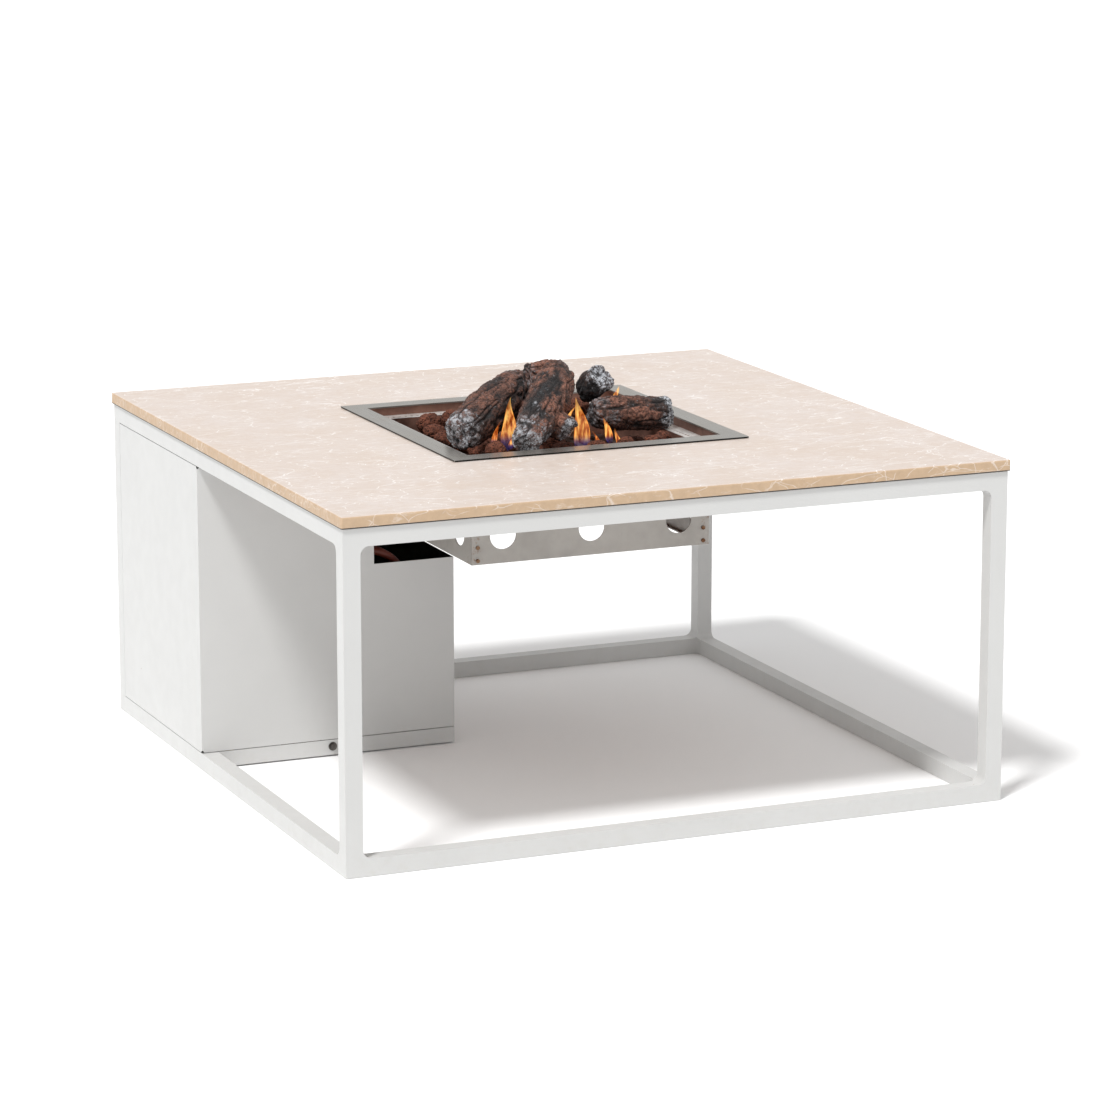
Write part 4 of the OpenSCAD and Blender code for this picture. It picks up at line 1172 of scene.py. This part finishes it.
class FIRETABLE_OT_cabinet(bpy.types.Operator):
    """Finishes the gas cabinet, its door, hinges and fasteners"""

    bl_idname = "firetable.cabinet"
    bl_label = "Gas cabinet"

    def execute(self, context):
        settings = context.scene.firetable_frame
        # The hood gets painted shade on its inner faces.
        coat_nodes(powder_coat("white hood coat", settings.coat, paint_inner_shade=True), "cabinet_hood")
        coat_nodes(powder_coat("white panel coat", settings.coat), "cabinet_tray", "cabinet_door")
        zinc = worn_metal("zinc plate", (0.5, 0.5, 0.5), (0.3, 0.29, 0.27))
        coat_nodes(zinc, "hinge_leaves_fixed", "hinge_leaves_door", "hinge_pins")
        coat_nodes(worn_metal("dark screw", (0.14, 0.13, 0.12), (0.06, 0.05, 0.05)), "tray_screws")
        coat_nodes(moulded("magnet case", (0.03, 0.03, 0.03)), "door_magnet")
        coat_nodes(moulded("hanger rubber", (0.02, 0.02, 0.02), 0.6), "hose_supports")
        coat_nodes(worn_metal("cast alloy", (0.5, 0.5, 0.5), (0.34, 0.33, 0.32), 0.4), "gas_regulator")
        return {"FINISHED"}


class FIRETABLE_OT_hose(bpy.types.Operator):
    """Lays the gas hose from the valve, round its coil, to the regulator"""

    bl_idname = "firetable.hose"
    bl_label = "Gas hose"

    def execute(self, context):
        settings = context.scene.firetable_hose
        route = self.route(settings.coil_radius)
        fine = curve_through(route, HOSE_SAMPLES * len(route))
        bpy.ops.object.select_all(action="DESELECT")
        bpy.ops.curve.primitive_nurbs_path_add()
        hose = context.object
        hose.name = "gas_hose"
        line = hose.data
        line.splines.clear()
        spline = line.splines.new("BEZIER")
        spline.bezier_points.add(len(route) - 1)
        for point, place in zip(spline.bezier_points, route):
            point.co = place
            point.handle_left_type = point.handle_right_type = "AUTO"
        line.resolution_u = 4
        line.dimensions = "3D"
        line.bevel_depth = settings.diameter / 2
        line.bevel_resolution = 5
        line.use_fill_caps = True
        finish_piece(
            hose,
            hose_rubber("gas hose rubber", settings.colour),
            stands_for=("gas_hose_tubes", "gas_hose_coil"),
        )
        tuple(route[0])
        sum((b - a).length for a, b in zip(fine, fine[1:]))
        return {"FINISHED"}

    def route(self, radius):
        """The hose's centre line: given stretches, and a coil worked out between them."""
        steps = COIL_STEPS * COIL_TURNS
        coil = []
        for i in range(steps + 1):
            turn = math.pi + 2 * math.pi * COIL_TURNS * i / steps
            x = COIL_CENTRE[0] + radius / MM * math.cos(turn)
            z = COIL_CENTRE[1] + radius / MM * math.sin(turn)
            coil.append((x, COIL_START + (COIL_END - COIL_START) * i / steps, z))
        return [Vector(p) * MM for p in HOSE_IN + coil + HOSE_OUT]


STEPS = (
    FIRETABLE_OT_stage,
    FIRETABLE_OT_hose,
    FIRETABLE_OT_frame,
    FIRETABLE_OT_stone,
    FIRETABLE_OT_burner,
    FIRETABLE_OT_logs,
    FIRETABLE_OT_rocks,
    FIRETABLE_OT_flames,
    FIRETABLE_OT_housing,
    FIRETABLE_OT_cabinet,
)
GROUPS = {
    "firetable_stage": FireTableStage,
    "firetable_frame": FireTableFrame,
    "firetable_stone": FireTableStone,
    "firetable_burner": FireTableBurner,
    "firetable_fire": FireTableFire,
    "firetable_hose": FireTableHose,
}


class FIRETABLE_PT_panel(bpy.types.Panel):
    """Lists the fire table's pieces"""

    bl_idname = "FIRETABLE_PT_panel"
    bl_label = "Fire table"
    bl_space_type = "VIEW_3D"
    bl_region_type = "UI"
    bl_category = "Fire table"

    def draw(self, context):
        for name, group in GROUPS.items():
            box = self.layout.box()
            for key in group.__annotations__:
                box.prop(getattr(context.scene, name), key)
        for step in STEPS:
            self.layout.operator(step.bl_idname)


def register():
    for cls in (*GROUPS.values(), *STEPS, FIRETABLE_PT_panel):
        bpy.utils.register_class(cls)
    for name, group in GROUPS.items():
        setattr(bpy.types.Scene, name, bpy.props.PointerProperty(type=group))


def unregister():
    for name in GROUPS:
        delattr(bpy.types.Scene, name)
    for cls in reversed((*GROUPS.values(), *STEPS, FIRETABLE_PT_panel)):
        bpy.utils.unregister_class(cls)


def main():
    register()
    bpy.ops.firetable.stage()
    bpy.ops.firetable.hose()
    bpy.ops.firetable.frame()
    bpy.ops.firetable.stone()
    bpy.ops.firetable.burner()
    bpy.ops.firetable.logs()
    bpy.ops.firetable.rocks()
    bpy.ops.firetable.flames()
    bpy.ops.firetable.housing()
    bpy.ops.firetable.cabinet()
    boxes = {"cad": CAD_BOX, "visual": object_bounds()}
    {name: [list(corner) for corner in box] for name, box in boxes.items()}


if __name__ == "__main__":
    main()
